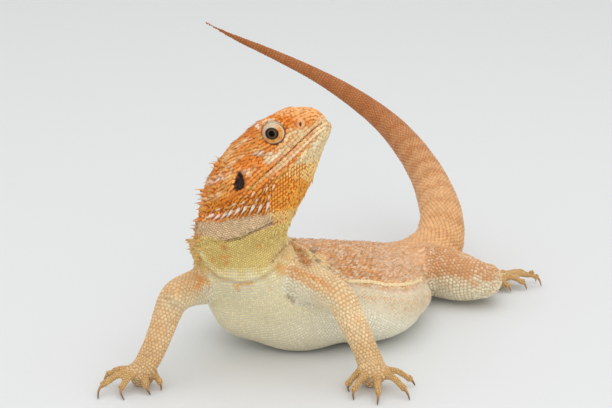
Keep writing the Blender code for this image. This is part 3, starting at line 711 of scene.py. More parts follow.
def limb_colours(places, name, run, normals):
    """Skin and scale colours of arms, legs and digits."""
    grain = waves(places, 5.0, 8)
    fine = waves(places, 2.4, 9)
    scale = blend_in(LIMB_CREAM, PEACH, 0.45 * ramp(grain, 0.0, 0.7))
    skin_colour = LIMB_NET
    inner = ramp(-normals[:, 2], 0.15, 0.75)
    if name.startswith("leg"):
        thigh = 1 - ramp(run, 30, 44)
        topside = ramp(normals[:, 2] + 0.2 * grain, -0.05, 0.45) * thigh
        scale = blend_in(scale, BELLY_WHITE, thigh * 0.7)
        skin_colour = blend_in(skin_colour, THIGH_NET, thigh * 0.85)
        scale = blend_in(scale, SALMON, topside * 0.9)
        scale = blend_in(scale, PALE, topside * 0.35 * ramp(fine, 0.25, 0.55))
        skin_colour = blend_in(skin_colour, DEEP_ORANGE, topside * 0.55)
        scale = blend_in(scale, OLIVE_YELLOW, (1 - thigh) * 0.45)
        skin_colour = blend_in(skin_colour, DARK_TAN, (1 - thigh) * 0.5)
    upper = (1 - ramp(run, 24, 32)) if name.startswith("arm") else np.zeros(len(places))
    inner = np.maximum(inner, upper * ramp(-normals[:, 2] + 0.15 * grain, -0.5, 0.0))
    scale = blend_in(scale, BELLY_WHITE, inner * (0.3 + 0.65 * upper))
    skin_colour = blend_in(skin_colour, BELLY_SHADE, inner * (0.3 + 0.7 * upper))
    if name[:4] in ("hand", "foot"):
        scale = blend_in(scale, DIGIT_TAN, 0.85)
        skin_colour = blend_in(skin_colour, DARK_TAN, 0.55)
    elif name.startswith("arm"):
        wrist = ramp(run, 46, 60)
        scale = blend_in(scale, TAN, wrist * 0.55)
        skin_colour = blend_in(skin_colour, DARK_TAN, wrist * 0.35)
    return skin_colour, scale


def colours_at(places, normals):
    """Skin and scale colours at any places on the animal."""
    bone_at, run, angle, _ = locate(places)
    skin_colour = np.zeros((len(places), 3))
    scale = np.zeros((len(places), 3))
    for i, name in enumerate(bone_names):
        mine = bone_at == i
        if not mine.any():
            continue
        if name == "head":
            pair = head_colours(places[mine])
        elif name == "spine":
            pair = spine_colours(places[mine], run[mine], angle[mine])
        else:
            pair = limb_colours(places[mine], name, run[mine], normals[mine])
        skin_colour[mine], scale[mine] = pair
    # On the neck the head's colours pass into the body's by the picture, and strokes, some of them painted
    # shade, are laid over both.
    shown = shown_at(places)
    facing = ramp(normals @ TO_CAMERA, -0.1, 0.2) * (bone_at != HEAD_BONE)
    neck = patch(shown, THROAT, 3.0) * facing
    scale = blend_in(scale, OLIVE_YELLOW, neck)
    skin_colour = blend_in(skin_colour, OLIVE, neck * 0.8)
    for points, width, tint, share in BODY_STROKES_AND_SHADE:
        mask = stroke(shown, points, width) * share * facing
        scale = blend_in(scale, tint, mask)
        skin_colour = blend_in(skin_colour, tint, mask * 0.7)
    return skin_colour, scale


def dress(piece, colours, finish):
    """Store a colour at each vertex of a piece, shade it smooth and give it its surface."""
    mesh = piece.data
    stored = mesh.attributes.new("paint", "FLOAT_COLOR", "POINT")
    stored.data.foreach_set("color", np.hstack([colours, np.ones((len(colours), 1))]).ravel())
    mesh.polygons.foreach_set("use_smooth", np.ones(len(mesh.polygons), bool))
    mesh.materials.append(finish)


print("markings:", len(HEAD_PATCHES), "patches,", len(HEAD_STROKES) + len(BODY_STROKES_AND_SHADE), "strokes")

# %% [markdown]
# All surfaces are made alike: each takes the stored colour and adds a fine grain. Light goes a little way
# into the skin, as it does in life. Scales are harder, and horn and eyeballs are glossier.

# %% Materials
def make_material(name, roughness, grain_size, grain_depth, coat=0.0, subsurface=0.0):
    """A surface that takes its colour from the stored paint."""
    made = bpy.data.materials.new(name)
    made.use_nodes = True
    tree = made.node_tree
    shader = tree.nodes["Principled BSDF"]
    shader.inputs["Roughness"].default_value = roughness
    shader.inputs["Coat Weight"].default_value = coat
    shader.inputs["Coat Roughness"].default_value = 0.06
    shader.inputs["Specular IOR Level"].default_value = 0.4
    shader.inputs["Subsurface Weight"].default_value = subsurface
    shader.inputs["Subsurface Radius"].default_value = (0.0012, 0.0006, 0.0003)
    shader.inputs["Subsurface Scale"].default_value = 1.0
    stored = tree.nodes.new("ShaderNodeAttribute")
    stored.attribute_name = "paint"
    where = tree.nodes.new("ShaderNodeTexCoord")
    noise = tree.nodes.new("ShaderNodeTexNoise")
    noise.inputs["Scale"].default_value = 1 / (grain_size * MM)
    noise.inputs["Detail"].default_value = 3.0
    tone = tree.nodes.new("ShaderNodeMapRange")
    tone.inputs["To Min"].default_value = 0.82
    tone.inputs["To Max"].default_value = 1.16
    mixed = tree.nodes.new("ShaderNodeVectorMath")
    mixed.operation = "SCALE"
    bump = tree.nodes.new("ShaderNodeBump")
    bump.inputs["Strength"].default_value = 0.6
    bump.inputs["Distance"].default_value = grain_depth * MM
    link = tree.links.new
    link(where.outputs["Object"], noise.inputs["Vector"])
    link(noise.outputs["Fac"], tone.inputs["Value"])
    link(stored.outputs["Color"], mixed.inputs[0])
    link(tone.outputs["Result"], mixed.inputs["Scale"])
    link(mixed.outputs["Vector"], shader.inputs["Base Color"])
    link(noise.outputs["Fac"], bump.inputs["Height"])
    link(bump.outputs["Normal"], shader.inputs["Normal"])
    return made


skin_finish = make_material("living skin", 0.62, 0.5, 0.10, subsurface=0.12)
scale_finish = make_material("scale", 0.50, 0.35, 0.06)
horn_finish = make_material("claw horn", 0.30, 0.6, 0.05, coat=0.3)
eye_finish = make_material("eyeball", 0.12, 0.3, 0.0, coat=0.02)
eye_finish.node_tree.nodes["Principled BSDF"].inputs["Specular IOR Level"].default_value = 0.05
print("materials:", [finish.name for finish in (skin_finish, scale_finish, horn_finish, eye_finish)])

# %% [markdown]
# Before it gets scales the skin is drawn in by their depth. It also gets its own folds: the crease behind the
# beard, the slack edge of the throat, the ridge along the flank and the pinch in the armpit. Each fold is a
# line on the picture. We look along it from the camera, find where the sight meets the skin, and press or
# raise the skin near that line.

# %% Folds of the skin
def tree_of(mesh):
    """A search tree over a mesh in millimetres, with its faces, places and vertex normals."""
    faces = [tuple(face.vertices) for face in mesh.polygons]
    places = places_of(mesh)
    return BVHTree.FromPolygons(places.tolist(), faces), np.array(faces), places, normals_of(mesh)


tree, skin_faces, skin_places, skin_normals = tree_of(skin.data)


def seen(column, row):
    """Where the skin shows at one place of the picture, or None."""
    place = tree.ray_cast(CAMERA_PLACE, sight(column, row))[0]
    return None if place is None else np.array(place)


def seen_line(points, step=1.0):
    """A line on the skin through places of the picture, in even steps."""
    found = [seen(*point) for point in points]
    return curve_through([place for place in found if place is not None], step)[1]


def press(points, depth, width, both=False):
    """How far the skin moves out near a line of the picture, for all its vertices."""
    line = seen_line(points)
    lines = [line, swapped(line)] if both else [line]
    gap = np.full(len(skin_places), np.inf)
    for point in np.concatenate(lines):
        gap = np.minimum(gap, np.linalg.norm(skin_places - point, axis=1))
    return depth * bell(gap, width)


# Each fold is a line on the picture, how far the skin moves out there, and the width of that.
HEAD_FOLDS = [
    ([(213, 243), (226.6, 241.5), (240.7, 238.5), (250.5, 233.5), (262.4, 228.2), (273.2, 224)], -1.5, 1.3),
    ([(206, 238), (226.6, 236.5), (240.7, 233.5), (250.5, 228.5), (262.4, 223.2)], 0.8, 1.8),
]
BODY_FOLDS = [
    ([(201, 253), (207, 262), (218.3, 273.5), (240.6, 279.5), (259.7, 275.5), (274.1, 264.8), (280, 252)],
     1.0, 2.0),
    ([(203, 262), (216, 278.5), (240, 285), (262, 280.5), (278, 268), (287, 252)], -1.1, 1.5),
    ([(290, 297.5), (292, 300), (295, 303)], -1.3, 1.2),
    ([(173, 302), (184, 302.5), (196, 300.5)], 1.6, 3.2),
    ([(165, 298), (169, 302), (173, 307)], -1.3, 1.1),
    ([(294, 239.5), (286, 245.5), (278.5, 253.5), (273, 262)], -1.5, 1.2),
    ([(291, 240), (297, 247), (301, 258), (305, 266)], -1.2, 2.2),
    ([(424, 270), (427, 285), (428, 298)], -1.0, 1.8),
]
ridge = seen_line(RIDGE)
_, ridge_run, ridge_angle, _ = locate(ridge)
order = np.argsort(ridge_run)
ridge_marks = {"run": ridge_run[order], "low": np.abs(ridge_angle[order]) / pi}
push = sum(press(*fold, both=True) for fold in HEAD_FOLDS) + sum(press(*fold) for fold in BODY_FOLDS)
bone_at, run_at, angle_at, _ = locate(skin_places)
below = below_ridge(run_at, angle_at)
on_flank = (bone_at == SPINE_BONE) * ramp(run_at, *FLANK_START) * (1 - ramp(run_at, 125, 140))
push += on_flank * (0.8 * bell(below, 1.1) - 0.5 * bell(below - 2.4, 1.3))
move_to(skin.data, skin_places + skin_normals * (push - SKIN_DEPTH)[:, None])
smooth_out(skin.data, 0.5, 1)
print("ridge of the flank at", np.round(ridge_marks["low"], 2).tolist()[::12])

# %% [markdown]
# The eyes, ears and nostrils are needed again and again: to shape the skin, to colour it, and to keep scales
# out of them. So their places and outlines come first, with a helper for each that says how far any place is
# from it. The ear is a tilted teardrop, and each eye looks out sideways and a little forward.

# %% Eyes, ears and nostrils
EAR = tuple(float(part[0]) for part in head_frame(seen(238.5, 181.6)))
NOSTRIL = tuple(float(part[0]) for part in head_frame(seen(300.1, 124.5)))
EAR_TILT = radians(40)
EAR_LENGTH, EAR_WIDTH = 3.3, 2.0
GAZE = {"right": unit(RIGHT + 0.10 * FORWARD), "left": unit(-RIGHT + 0.10 * FORWARD)}
LID_SIZE = 4.55


def off_gaze(places, side):
    """How far places are from one eye's gaze line, and how far out along it."""
    away = places - EYE_PLACES[side]
    along = away @ GAZE[side]
    return np.linalg.norm(away - along[:, None] * GAZE[side], axis=1), along


def eye_reach(places):
    """How far places in front of an eye are from the nearer gaze line."""
    best = np.full(len(places), np.inf)
    for side in EYE_PLACES:
        gap, along = off_gaze(places, side)
        best = np.minimum(best, np.where(along < 0, np.inf, gap))
    return best


def ear_reach(places):
    """How far places are from the middle of the ear, as a share of its teardrop's outline."""
    back, right, up = head_frame(mirrored(places))
    x, y = back - EAR[0], up - EAR[2]
    along = x * sin(EAR_TILT) - y * cos(EAR_TILT)
    across = x * cos(EAR_TILT) + y * sin(EAR_TILT)
    wide = EAR_WIDTH * (1.0 + 0.38 * np.clip(along / 3.0, -1, 1))
    gap = np.hypot(along / EAR_LENGTH, across / wide)
    gap[np.abs(right - EAR[1]) > 8] = np.inf
    return gap


def nostril_reach(places):
    """How far places are from the nearer nostril."""
    return np.linalg.norm(mirrored(places) - in_head(*NOSTRIL), axis=1)


print("in the head's frame: ear", np.round(EAR, 1).tolist(), "nostril", np.round(NOSTRIL, 1).tolist())

# %% [markdown]
# The head gets its finer forms as the folds were made, from measures in the head's frame on both sides: the
# brow, the hollow before the eye, the seat of the nostril, the ear's hollow and the mouth line. Round the eye
# the skin is pressed in, because the lids and the eyeball stand there as pieces of their own.

# %% Forms of the head
tree, skin_faces, skin_places, skin_normals = tree_of(skin.data)
on_head = locate(skin_places)[0] == HEAD_BONE
same_side = mirrored(skin_places)


def swelling(where, size):
    """A round swelling at a place of the head, on both sides."""
    return bell(np.linalg.norm(same_side - in_head(*where), axis=1), size)


push = -0.75 * stroke(shown_at(same_side), MOUTH, 1.3) * ramp(head_frame(same_side)[1], 1.0, 2.5)
push += 0.7 * swelling((17.5, 8.0, 15.8), 3.6) + 0.4 * swelling((11.5, 6.4, 13.6), 3.0)
push -= 0.6 * swelling((10.5, 9.0, 9.0), 2.4)
push += 0.30 * swelling(NOSTRIL, 2.2) - 1.6 * swelling(NOSTRIL, 0.8)
ear_gap = ear_reach(skin_places)
push += -2.8 * (1 - ramp(ear_gap, 0.72, 1.02)) + 0.35 * bell(ear_gap - 1.35, 0.3)
moved = skin_places + skin_normals * (push * on_head)[:, None]
# Inside the lids the skin falls back behind a plane across the eye.
for side in EYE_PLACES:
    gap, along = off_gaze(moved, side)
    over = np.maximum(along - 1.2 - 0.9 * ramp(gap, 2.5, LID_SIZE), 0) * (gap < LID_SIZE - 0.3) * (along < 9)
    moved -= over[:, None] * GAZE[side]
move_to(skin.data, moved)
tree, skin_faces, skin_places, skin_normals = tree_of(skin.data)
print("places of the skin moved on the head:", int((np.abs(push * on_head) > 0.05).sum()))

# %% [markdown]
# Now the skin gets its colours, with painted shade that makes it a little darker than the scales that will
# stand on it. The ear and the holes of the nostrils are painted dark as shade in their hollows, and so is the
# crease just round the lids, most of all in front of the eye.

# %% Colours of the skin
# Painted shade: the skin that shows between the scales is darkened by this share.
GAP_PAINTED_SHADE = 0.82
skin_colour = colours_at(skin_places, skin_normals)[0] * GAP_PAINTED_SHADE
# Painted shade in the ear's hollow.
skin_colour = blend_in(skin_colour, DARK, (1 - ramp(ear_reach(skin_places), 1.02, 1.16)) * 0.98)
# Painted shade in the crease round the lids, deeper towards the front and the bottom of the eye.
eye_front = ramp((mirrored(skin_places) - EYE_PLACES["right"]) @ (FORWARD - UP), -2.0, 3.0)
eye_crease_shade = 1 - ramp(eye_reach(skin_places), LID_SIZE - 0.1, LID_SIZE + 0.5)
skin_colour = blend_in(skin_colour, DARK, eye_crease_shade * (0.25 + 0.5 * eye_front))
skin_colour = blend_in(skin_colour, SALMON, 1 - ramp(nostril_reach(skin_places), 1.9, 2.5))
# Painted shade in the hole of the nostril.
skin_colour = blend_in(skin_colour, DARK, 1 - ramp(nostril_reach(skin_places), 0.8, 1.1))
dress(skin, skin_colour, skin_finish)
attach(skin, "root")
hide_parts(*flesh_names)
print("skin box in mm:", skin_places.min(0).round(1).tolist(), skin_places.max(0).round(1).tolist())

# %% [markdown]
# Every scale starts from a root: a place on the skin with the skin's normal, a way to point and a width. The
# helpers below find the nearest skin, keep roots out of the holes and off each other, and give them their
# colours. Where two sets of roots meet, the set that is laid first stays, as in a pavement.

# %% Roots of scales
laid = []
chance = np.random.default_rng(11)
FLOOR_GAP, LID_GAP, EAR_GAP, NOSTRIL_GAP = 0.4, 0.15, 1.08, 1.95
TIP_REACH = 1.1
TONE = 0.07


def across(ways, normals):
    """Ways turned into the plane across their normals."""
    return unit(ways - normals * (ways * normals).sum(1)[:, None])


def on_skin(places):
    """The nearest places of the skin and their smooth normals."""
    hits = [tree.find_nearest(place) for place in places]
    there = np.array([list(hit[0]) for hit in hits])
    corners = skin_faces[np.array([hit[2] for hit in hits])]
    gap = np.linalg.norm(skin_places[corners] - there[:, None, :], axis=2)
    return there, unit((skin_normals[corners] / (gap + 0.05)[:, :, None]).sum(1))


def free_of_holes(places):
    """Whether places are clear of the floor, the eyes, the ears and the nostrils."""
    return ((places[:, 2] > FLOOR_GAP) & (eye_reach(places) > LID_SIZE + LID_GAP)
            & (ear_reach(places) > EAR_GAP) & (nostril_reach(places) > NOSTRIL_GAP))


def nearest_laid(places):
    """The gap from each place to the nearest scale that is laid, and the width of that scale."""
    earlier = np.concatenate([rows["place"] for rows in laid])
    widths = np.concatenate([rows["width"] for rows in laid])
    search = KDTree(len(earlier))
    for i, place in enumerate(earlier):
        search.insert(place, i)
    search.balance()
    found = [search.find(place) for place in places]
    return np.array([gap for _, _, gap in found]), widths[[other for _, other, _ in found]]


def part_of(rows, mask):
    """Some of the rows' scales."""
    return {key: value[mask] for key, value in rows.items()}


def settle(rows, apart):
    """Drop roots that stand in holes or on earlier ones, give the rest their colours, and remember them."""
    tips = rows["place"] + unit(rows["way"]) * rows["width"][:, None] * TIP_REACH
    keep = free_of_holes(rows["place"]) & (ear_reach(tips) > TIP_REACH)
    if laid and keep.any():
        gap, other = nearest_laid(rows["place"][keep])
        keep[keep] = gap > apart * (rows["width"][keep] + other) / 2
    rows = part_of(rows, keep)
    rows["way"] = across(rows["way"], rows["normal"])
    rows["gap"], rows["scale"] = colours_at(rows["place"], rows["normal"])
    tone = 1 + chance.normal(0, TONE, len(rows["place"]))
    rows["scale"] = np.clip(rows["scale"] * tone[:, None], 0, 1)
    laid.append(rows)
    return rows


print("share of the skin that is free for scales:", free_of_holes(skin_places).mean().round(3))

# %% [markdown]
# A lizard's scales stand in rows round the body, each row set half a scale over from the last. Scattered
# scales would look like gravel, so we walk along a bone, cast rays out to the skin all the way round, and
# share out each ring by length. The count in a ring stays the same from row to row until the girth has
# clearly changed, so that the columns run on.

# %% Rows along a bone
RAY, RAY_STEP = 70.0, 0.9
FEWEST_RAYS, MOST_RAYS = 28, 150
COUNT_CHANGE = 0.10
BORDER = 0.4


def cross_section(bone, run):
    """The centre of a bone at a run, and its three ways there."""
    return [at_run(bone, key, run) for key in ("centre", "along", "top", "side")]


def own_gap(places, bone):
    """How far places are past the size of one bone."""
    gap = np.full(len(places), np.inf)
    for centre, size in zip(bone["centre"][::2], bone["size"][::2]):
        gap = np.minimum(gap, np.linalg.norm(places - centre, axis=1) - size)
    return gap


def lay_rows(name, start, end, width_at, pitch, keep=None, front_cap=False, apart=0.66, jitter=0.06):
    """Scale roots in rows along a bone, from one run to another, as wide as a function of the run says."""
    bone = bones[name]
    found = {key: [] for key in ("place", "way", "width")}
    rings = []
    if front_cap:
        rings += [(0.0, tilt) for tilt in np.arange(radians(82), 0, -pitch / bone["size"][0])]
    rings += [(run, 0.0) for run in np.arange(start, end, pitch)]
    count = 0
    for row, (run, tilt) in enumerate(rings):
        centre, along, top, side = cross_section(bone, run)
        rays = int(np.clip(2 * pi * at_run(bone, "size", run) / RAY_STEP, FEWEST_RAYS, MOST_RAYS))
        angles = np.arange(rays) / rays * 2 * pi
        spokes = np.cos(angles)[:, None] * top + np.sin(angles)[:, None] * side
        hits = [tree.ray_cast(centre, way, RAY)[0] for way in spokes * cos(tilt) - along * sin(tilt)]
        if any(hit is None for hit in hits):
            continue
        ring = np.array([list(hit) for hit in hits])
        closed = np.vstack([ring, ring[:1]])
        span = np.linalg.norm(np.diff(closed, axis=0), axis=1)
        share = np.concatenate([[0], np.cumsum(span / width_at(run))])
        if abs(share[-1] - count) > COUNT_CHANGE * count:
            count = max(5, round(share[-1]))
        marks = (np.arange(count) + 0.5 * (row % 2)) / count * share[-1]
        found["place"].append(np.stack([np.interp(marks, share, column) for column in closed.T], axis=1))
        found["width"].append(np.full(count, width_at(run) * share[-1] / count))
        found["way"].append(np.tile(along, (count, 1)))
    found = {key: np.concatenate(value) for key, value in found.items()}
    found["place"] = found["place"] + chance.normal(0, jitter, found["place"].shape) * found["width"][:, None]
    found["place"], found["normal"] = on_skin(found["place"])
    mine = own_gap(found["place"], bone) - locate(found["place"])[3] < BORDER
    if keep is not None:
        mine &= keep(found)
    return settle(part_of(found, mine), apart)


print("a ring in mid trunk starts from", cross_section(spine, 60)[0].round(1).tolist())

# %% [markdown]
# The beard's scales follow lines of their own: in front they hang in upright rows, and under the beard fine
# folds run across. Rows like these are laid out on the picture, inside an outline, and dropped on the skin
# along the camera's sight. The other side gets the mirrored places.

# %% Rows laid out on the picture
GRAZING = 0.12
OTHER_SIDE_GAP = 3.0
SPIKE_RISE = 0.30


def world_way(column, row):
    """A way of the picture as a way in space."""
    return unit(CAMERA_RIGHT * column - CAMERA_UP * row)


def drop_on_skin(shown, ways, widths, apart=0.62, aim=False):
    """Scale roots at places of the picture, and mirrored on the head's other side."""
    found = {key: [] for key in ("place", "way", "width")}
    for point, way, width in zip(shown, ways, widths):
        hit = tree.ray_cast(CAMERA_PLACE, sight(*point))
        if hit[0] is None or np.dot(hit[1], TO_CAMERA) < GRAZING:
            continue
        found["place"].append(list(hit[0]))
        found["way"].append(way)
        found["width"].append(width)
    places, ways = np.array(found["place"]), np.array(found["way"])
    both = np.concatenate([places, swapped(places)])
    turned = ways - 2 * RIGHT * (ways @ RIGHT)[:, None]
    there, normals = on_skin(both)
    close = np.linalg.norm(there - both, axis=1) < OTHER_SIDE_GAP
    rows = {"place": there, "normal": normals, "way": np.concatenate([ways, turned]),
            "width": np.tile(np.array(found["width"]), 2)}
    if aim:
        rows["aim"] = rows["way"]
    rows = settle(part_of(rows, close), apart)
    if aim:
        # A spike keeps its own way and stands off the skin, also past the head's outline.
        rows["way"] = unit(rows.pop("aim") + SPIKE_RISE * rows["normal"])
        rows["normal"] = across(rows["normal"], rows["way"])
    return rows


def lattice_in(corners, turn, apart, down, width, way):
    """Roots inside an outline of the picture: rows along a turned line, each second one moved by a half."""
    corners = np.array(corners, float)
    middle = corners.mean(0)
    reach = np.linalg.norm(corners - middle, axis=1).max()
    one = np.array((cos(radians(turn)), sin(radians(turn))))
    two = np.array((-one[1], one[0]))
    columns = np.arange(-reach, reach, apart)
    rows = np.arange(-reach, reach, down)
    grid = np.array([middle + one * (row + 0.5 * down * (i % 2)) + two * column
                     for i, column in enumerate(columns) for row in rows])
    grid = grid + chance.normal(0, 0.06 * apart, grid.shape)
    grid = grid[patch(grid, corners, 0.01) > 0.5]
    ways = np.tile(world_way(*way), (len(grid), 1))
    return drop_on_skin(grid, ways, np.full(len(grid), width))


print("the picture's right and up in space:", CAMERA_RIGHT.round(2).tolist(), CAMERA_UP.round(2).tolist())

# %% [markdown]
# One scale is a small closed shape of about two dozen faces, and each kind is described once in a unit
# square: along the body, across it, and up. It is then set at every root with its own length, width and
# height. A bump pattern would be lighter, but it gives no outline and no shadow between scales.

# %% Kinds of scale
def stacked(rings, crown):
    """A closed shape from rings of equal count, bottom first, and one or two points as its crown."""
    points = [point for ring in rings for point in ring] + crown
    count = len(rings[0])
    faces = [(0, i + 1, i) for i in range(1, count - 1)]
    for level_at in range(len(rings) - 1):
        for i in range(count):
            a, b = level_at * count + i, level_at * count + (i + 1) % count
            faces += [(a, b, b + count), (a, b + count, a + count)]
    last = (len(rings) - 1) * count
    near = [last + count + (len(crown) == 2 and points[last + i][0] < 0) for i in range(count)]
    for i in range(count):
        j = (i + 1) % count
        faces.append((last + i, last + j, near[i]))
        if near[i] != near[j]:
            faces.append((last + j, near[j], near[i]))
    return np.array(points, float), np.array(faces)


def outline(count, length, width, height, lift=0.0, point=0.0):
    """A ring of places: rounded, drawn out to the rear by a point, and lifted towards the rear."""
    ring = []
    for i in range(count):
        turn = 2 * pi * (i + 0.001) / count
        x = 0.5 * cos(turn) * length + point * 0.5 * max(0.0, cos(turn)) ** 2
        ring.append((x, 0.5 * sin(turn) * width, height + lift * max(0.0, x + 0.1)))
    return ring


KINDS = {
    "flat": stacked([outline(6, 1.0, 1.02, -0.5), outline(6, 0.86, 0.84, 0.55, 0.6)], [(0.08, 0.0, 1.0)]),
    "keeled": stacked([outline(6, 1.0, 1.0, -0.4), outline(6, 0.92, 0.84, 0.30, 0.7, 0.1)],
                      [(0.42, 0.0, 1.15), (-0.22, 0.0, 0.62)]),
    "rhombic": stacked([outline(6, 1.0, 1.0, -0.5), outline(6, 0.84, 0.82, 0.55, 0.5)], [(0.1, 0.0, 1.0)]),
    "plate": stacked([outline(8, 1.0, 1.0, -0.5), outline(8, 0.88, 0.86, 0.70, 0.1)], [(0.0, 0.0, 1.0)]),
    "spine": stacked([outline(6, 0.9, 1.0, -0.4), outline(6, 0.66, 0.66, 0.30, 0.3, 0.3)], [(1.0, 0.0, 1.0)]),
}
print("faces:", {kind: len(faces) for kind, (_, faces) in KINDS.items()})

# %% [markdown]
# Thousands of single objects would be slow, so all scales of a coat become one mesh, made from lists of
# places and faces. The lowest ring of a scale is sunk in the skin and takes the skin's colour, and its crown
# takes the scale's. Each scale also gets a small patch of a flat map, so that its colours can be baked: there
# each bone's skin is unrolled to a strip, and the strips stand side by side.

# %% Coats of scales
STRIP_EDGE, PATCH_SIZE = 2, 0.003


def unroll(places):
    """The skin of each bone unrolled: the bone, the length round it and the run along it."""
    bone_at, run, angle, _ = locate(places)
    past = []
    for end in (0, -1):
        centre, along = (np.array([bone[key][end] for bone in bones.values()])[bone_at]
                         for key in ("centre", "along"))
        past.append(((places - centre) * along).sum(1))
    longest = np.array([bone["run"][-1] for bone in bones.values()])[bone_at]
    before = np.minimum(past[0], 0) * (run < 0.5)
    after = np.maximum(past[1], 0) * (run > longest - 0.5)
    return bone_at, (angle + pi) * size_at(bone_at, run), run + before + after


def build_scales(name, groups):
    """One joined mesh of many scales. A group is (kind, rows, length, height), as shares of the width."""
    all_points, all_faces, all_colours, roots, spreads = [], [], [], [], []
    offset = 0
    for kind, rows, length, height in groups:
        points, faces = KINDS[kind]
        count = len(rows["place"])
        along = rows["way"][:, None, :] * (rows["width"] * length)[:, None, None]
        across = np.cross(rows["normal"], rows["way"])[:, None, :] * rows["width"][:, None, None]
        high = rows["normal"][:, None, :] * (rows["width"] * height)[:, None, None]
        x, y, z = (column[None, :, None] for column in points.T)
        all_points.append((rows["place"][:, None, :] + along * x + across * y + high * z).reshape(-1, 3))
        share = np.clip((z + 0.1) / 0.8, 0, 1)
        colours = rows["gap"][:, None, :] * (1 - share) + rows["scale"][:, None, :] * share
        all_colours.append(colours.reshape(-1, 3))
        firsts = np.arange(count) * len(points) + offset
        all_faces.append((faces[None] + firsts[:, None, None]).reshape(-1, 3))
        offset += count * len(points)
        roots.append(rows["place"])
        spreads.append(np.tile(points[None, :, :2], (count, 1, 1)))
    points, faces = np.concatenate(all_points), np.concatenate(all_faces)
    points[:, 2] = np.maximum(points[:, 2], 0.0)
    bone_at, arc, run = unroll(np.concatenate(roots))
    start = np.zeros(len(arc))
    total = 0.0
    for i in np.unique(bone_at):
        start[bone_at == i] = total + STRIP_EDGE
        total += arc[bone_at == i].max() + 2 * STRIP_EDGE
    run = run - run.min() + STRIP_EDGE
    fit = 0.97 / max(total, run.max() + STRIP_EDGE)
    sizes = np.repeat([spread.shape[1] for spread in spreads], [len(spread) for spread in spreads])
    centres = np.repeat(np.stack([start + arc, run], axis=1) * fit, sizes, axis=0)
    uv = centres + np.concatenate([spread.reshape(-1, 2) for spread in spreads]) * PATCH_SIZE
    mesh = bpy.data.meshes.new(name)
    mesh.vertices.add(len(points))
    mesh.vertices.foreach_set("co", (points * MM).ravel())
    mesh.loops.add(len(faces) * 3)
    mesh.loops.foreach_set("vertex_index", faces.ravel().astype(np.int32))
    mesh.polygons.add(len(faces))
    mesh.polygons.foreach_set("loop_start", np.arange(len(faces), dtype=np.int32) * 3)
    mesh.update(calc_edges=True)
    mesh.uv_layers.new(name="OFBake").data.foreach_set("uv", uv[faces.ravel()].ravel())
    made = add_object(name, mesh)
    dress(made, np.clip(np.concatenate(all_colours), 0, 1), scale_finish)
    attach(made, "root")
    print(name, "has", len(arc), "scales and", len(faces), "faces")


def merged(*sets):
    """Several sets of rows as one."""
    return {key: np.concatenate([rows[key] for rows in sets]) for key in sets[0]}


print("places in one scale:", {kind: len(points) for kind, (points, _) in KINDS.items()})

# %% [markdown]
# The mouth comes first, because the plates of the lips must stand in line. There are two rows on each lip,
# and each follows the mouth line at its own distance.

# %% Lips
PLATE_STEP = 4.6


def along_line(points, step, aside):
    """Places of the picture in even steps beside a line, and the ways along it."""
    run, line = curve_through([(*point, 0.0) for point in points], step)
    line = line[:, :2]
    way = unit(np.gradient(line, axis=0))
    return line + np.stack([-way[:, 1], way[:, 0]], axis=1) * aside, [world_way(*each) for each in way]


lips = []
for aside, width in ((-2.2, 1.45), (2.2, 1.45), (-5.6, 1.35), (5.8, 1.35)):
    shown, ways = along_line(MOUTH, PLATE_STEP, aside)
    lips.append(drop_on_skin(shown, ways, np.full(len(shown), width), 0.5))
lips = merged(*lips)
print("plates on the lips:", len(lips["place"]))

# %% [markdown]
# A bearded dragon's spikes are single scales drawn out to a point. They don't stand in even rows, so they are
# read off the picture one by one, from root to tip. A row of white ones closes the beard, and others stand in
# it, at the back of the head, on the neck and at the shoulder.

# %% Spikes
MM_PER_PIXEL = 0.364
SPIKES = [
    ((213.4, 214.7), (203.2, 219.6)), ((219.9, 214.8), (211.4, 223.4)), ((226.5, 212.6), (219.9, 223.4)),
    ((231.9, 210.9), (226.3, 221.2)), ((239.1, 208.9), (233.2, 218.0)), ((246.2, 206.9), (240.2, 215.8)),
    ((253.8, 206.1), (247.7, 214.2)), ((261.4, 205.6), (254.8, 213.3)), ((268.5, 203.6), (263.1, 212.2)),
]
SMALL_SPIKES = [
    ((244.5, 201.5), (238.7, 206.8)), ((251.0, 200.3), (246.2, 206.0)), ((257.5, 199.0), (252.5, 205.0)),
    ((263.5, 197.0), (259.0, 203.5)), ((269.5, 195.6), (265.5, 202.0)), ((247.0, 195.5), (242.0, 199.5)),
    ((254.0, 193.0), (249.5, 198.0)), ((261.0, 190.6), (256.5, 196.2)), ((267.5, 188.0), (263.6, 194.2)),
    ((273.6, 192.5), (270.2, 199.5)), ((235.5, 203.6), (229.6, 208.0)), ((228.2, 206.8), (221.6, 210.6)),
    ((220.0, 208.8), (213.8, 211.6)), ((241.6, 196.0), (236.0, 199.6)), ((274.0, 185.5), (271.0, 191.0)),
]
REAR_SPIKES = [
    ((221.0, 159.6), (215.3, 159.8)), ((219.2, 163.6), (212.4, 164.4)), ((217.6, 168.8), (211.4, 170.6)),
    ((217.0, 177.2), (208.8, 181.4)), ((222.4, 175.6), (214.8, 179.6)), ((203.6, 190.8), (195.0, 193.6)),
    ((206.2, 195.6), (198.6, 199.4)), ((204.4, 205.2), (195.0, 207.4)), ((206.4, 209.6), (196.8, 212.6)),
    ((213.6, 195.6), (206.2, 200.2)), ((211.0, 202.2), (203.4, 205.6)), ((227.5, 170.0), (221.8, 173.4)),
    ((216.2, 186.6), (209.6, 190.4)), ((213.0, 190.0), (206.6, 194.0)), ((224.6, 165.6), (219.4, 168.6)),
]


def spikes_at(pairs, width, tint, share, height):
    """Single spikes from a root to a tip, both read off the picture, and mirrored."""
    roots = np.array([pair[0] for pair in pairs])
    tips = np.array([pair[1] for pair in pairs])
    ways = np.array([world_way(*way) for way in tips - roots])
    rows = drop_on_skin(roots, ways, np.full(len(pairs), width), 0.05, aim=True)
    rows["scale"] = rows["scale"] * (1 - share) + tint * share
    long = np.linalg.norm(tips - roots, axis=1).mean() * MM_PER_PIXEL
    return ("spine", rows, long / width, height)


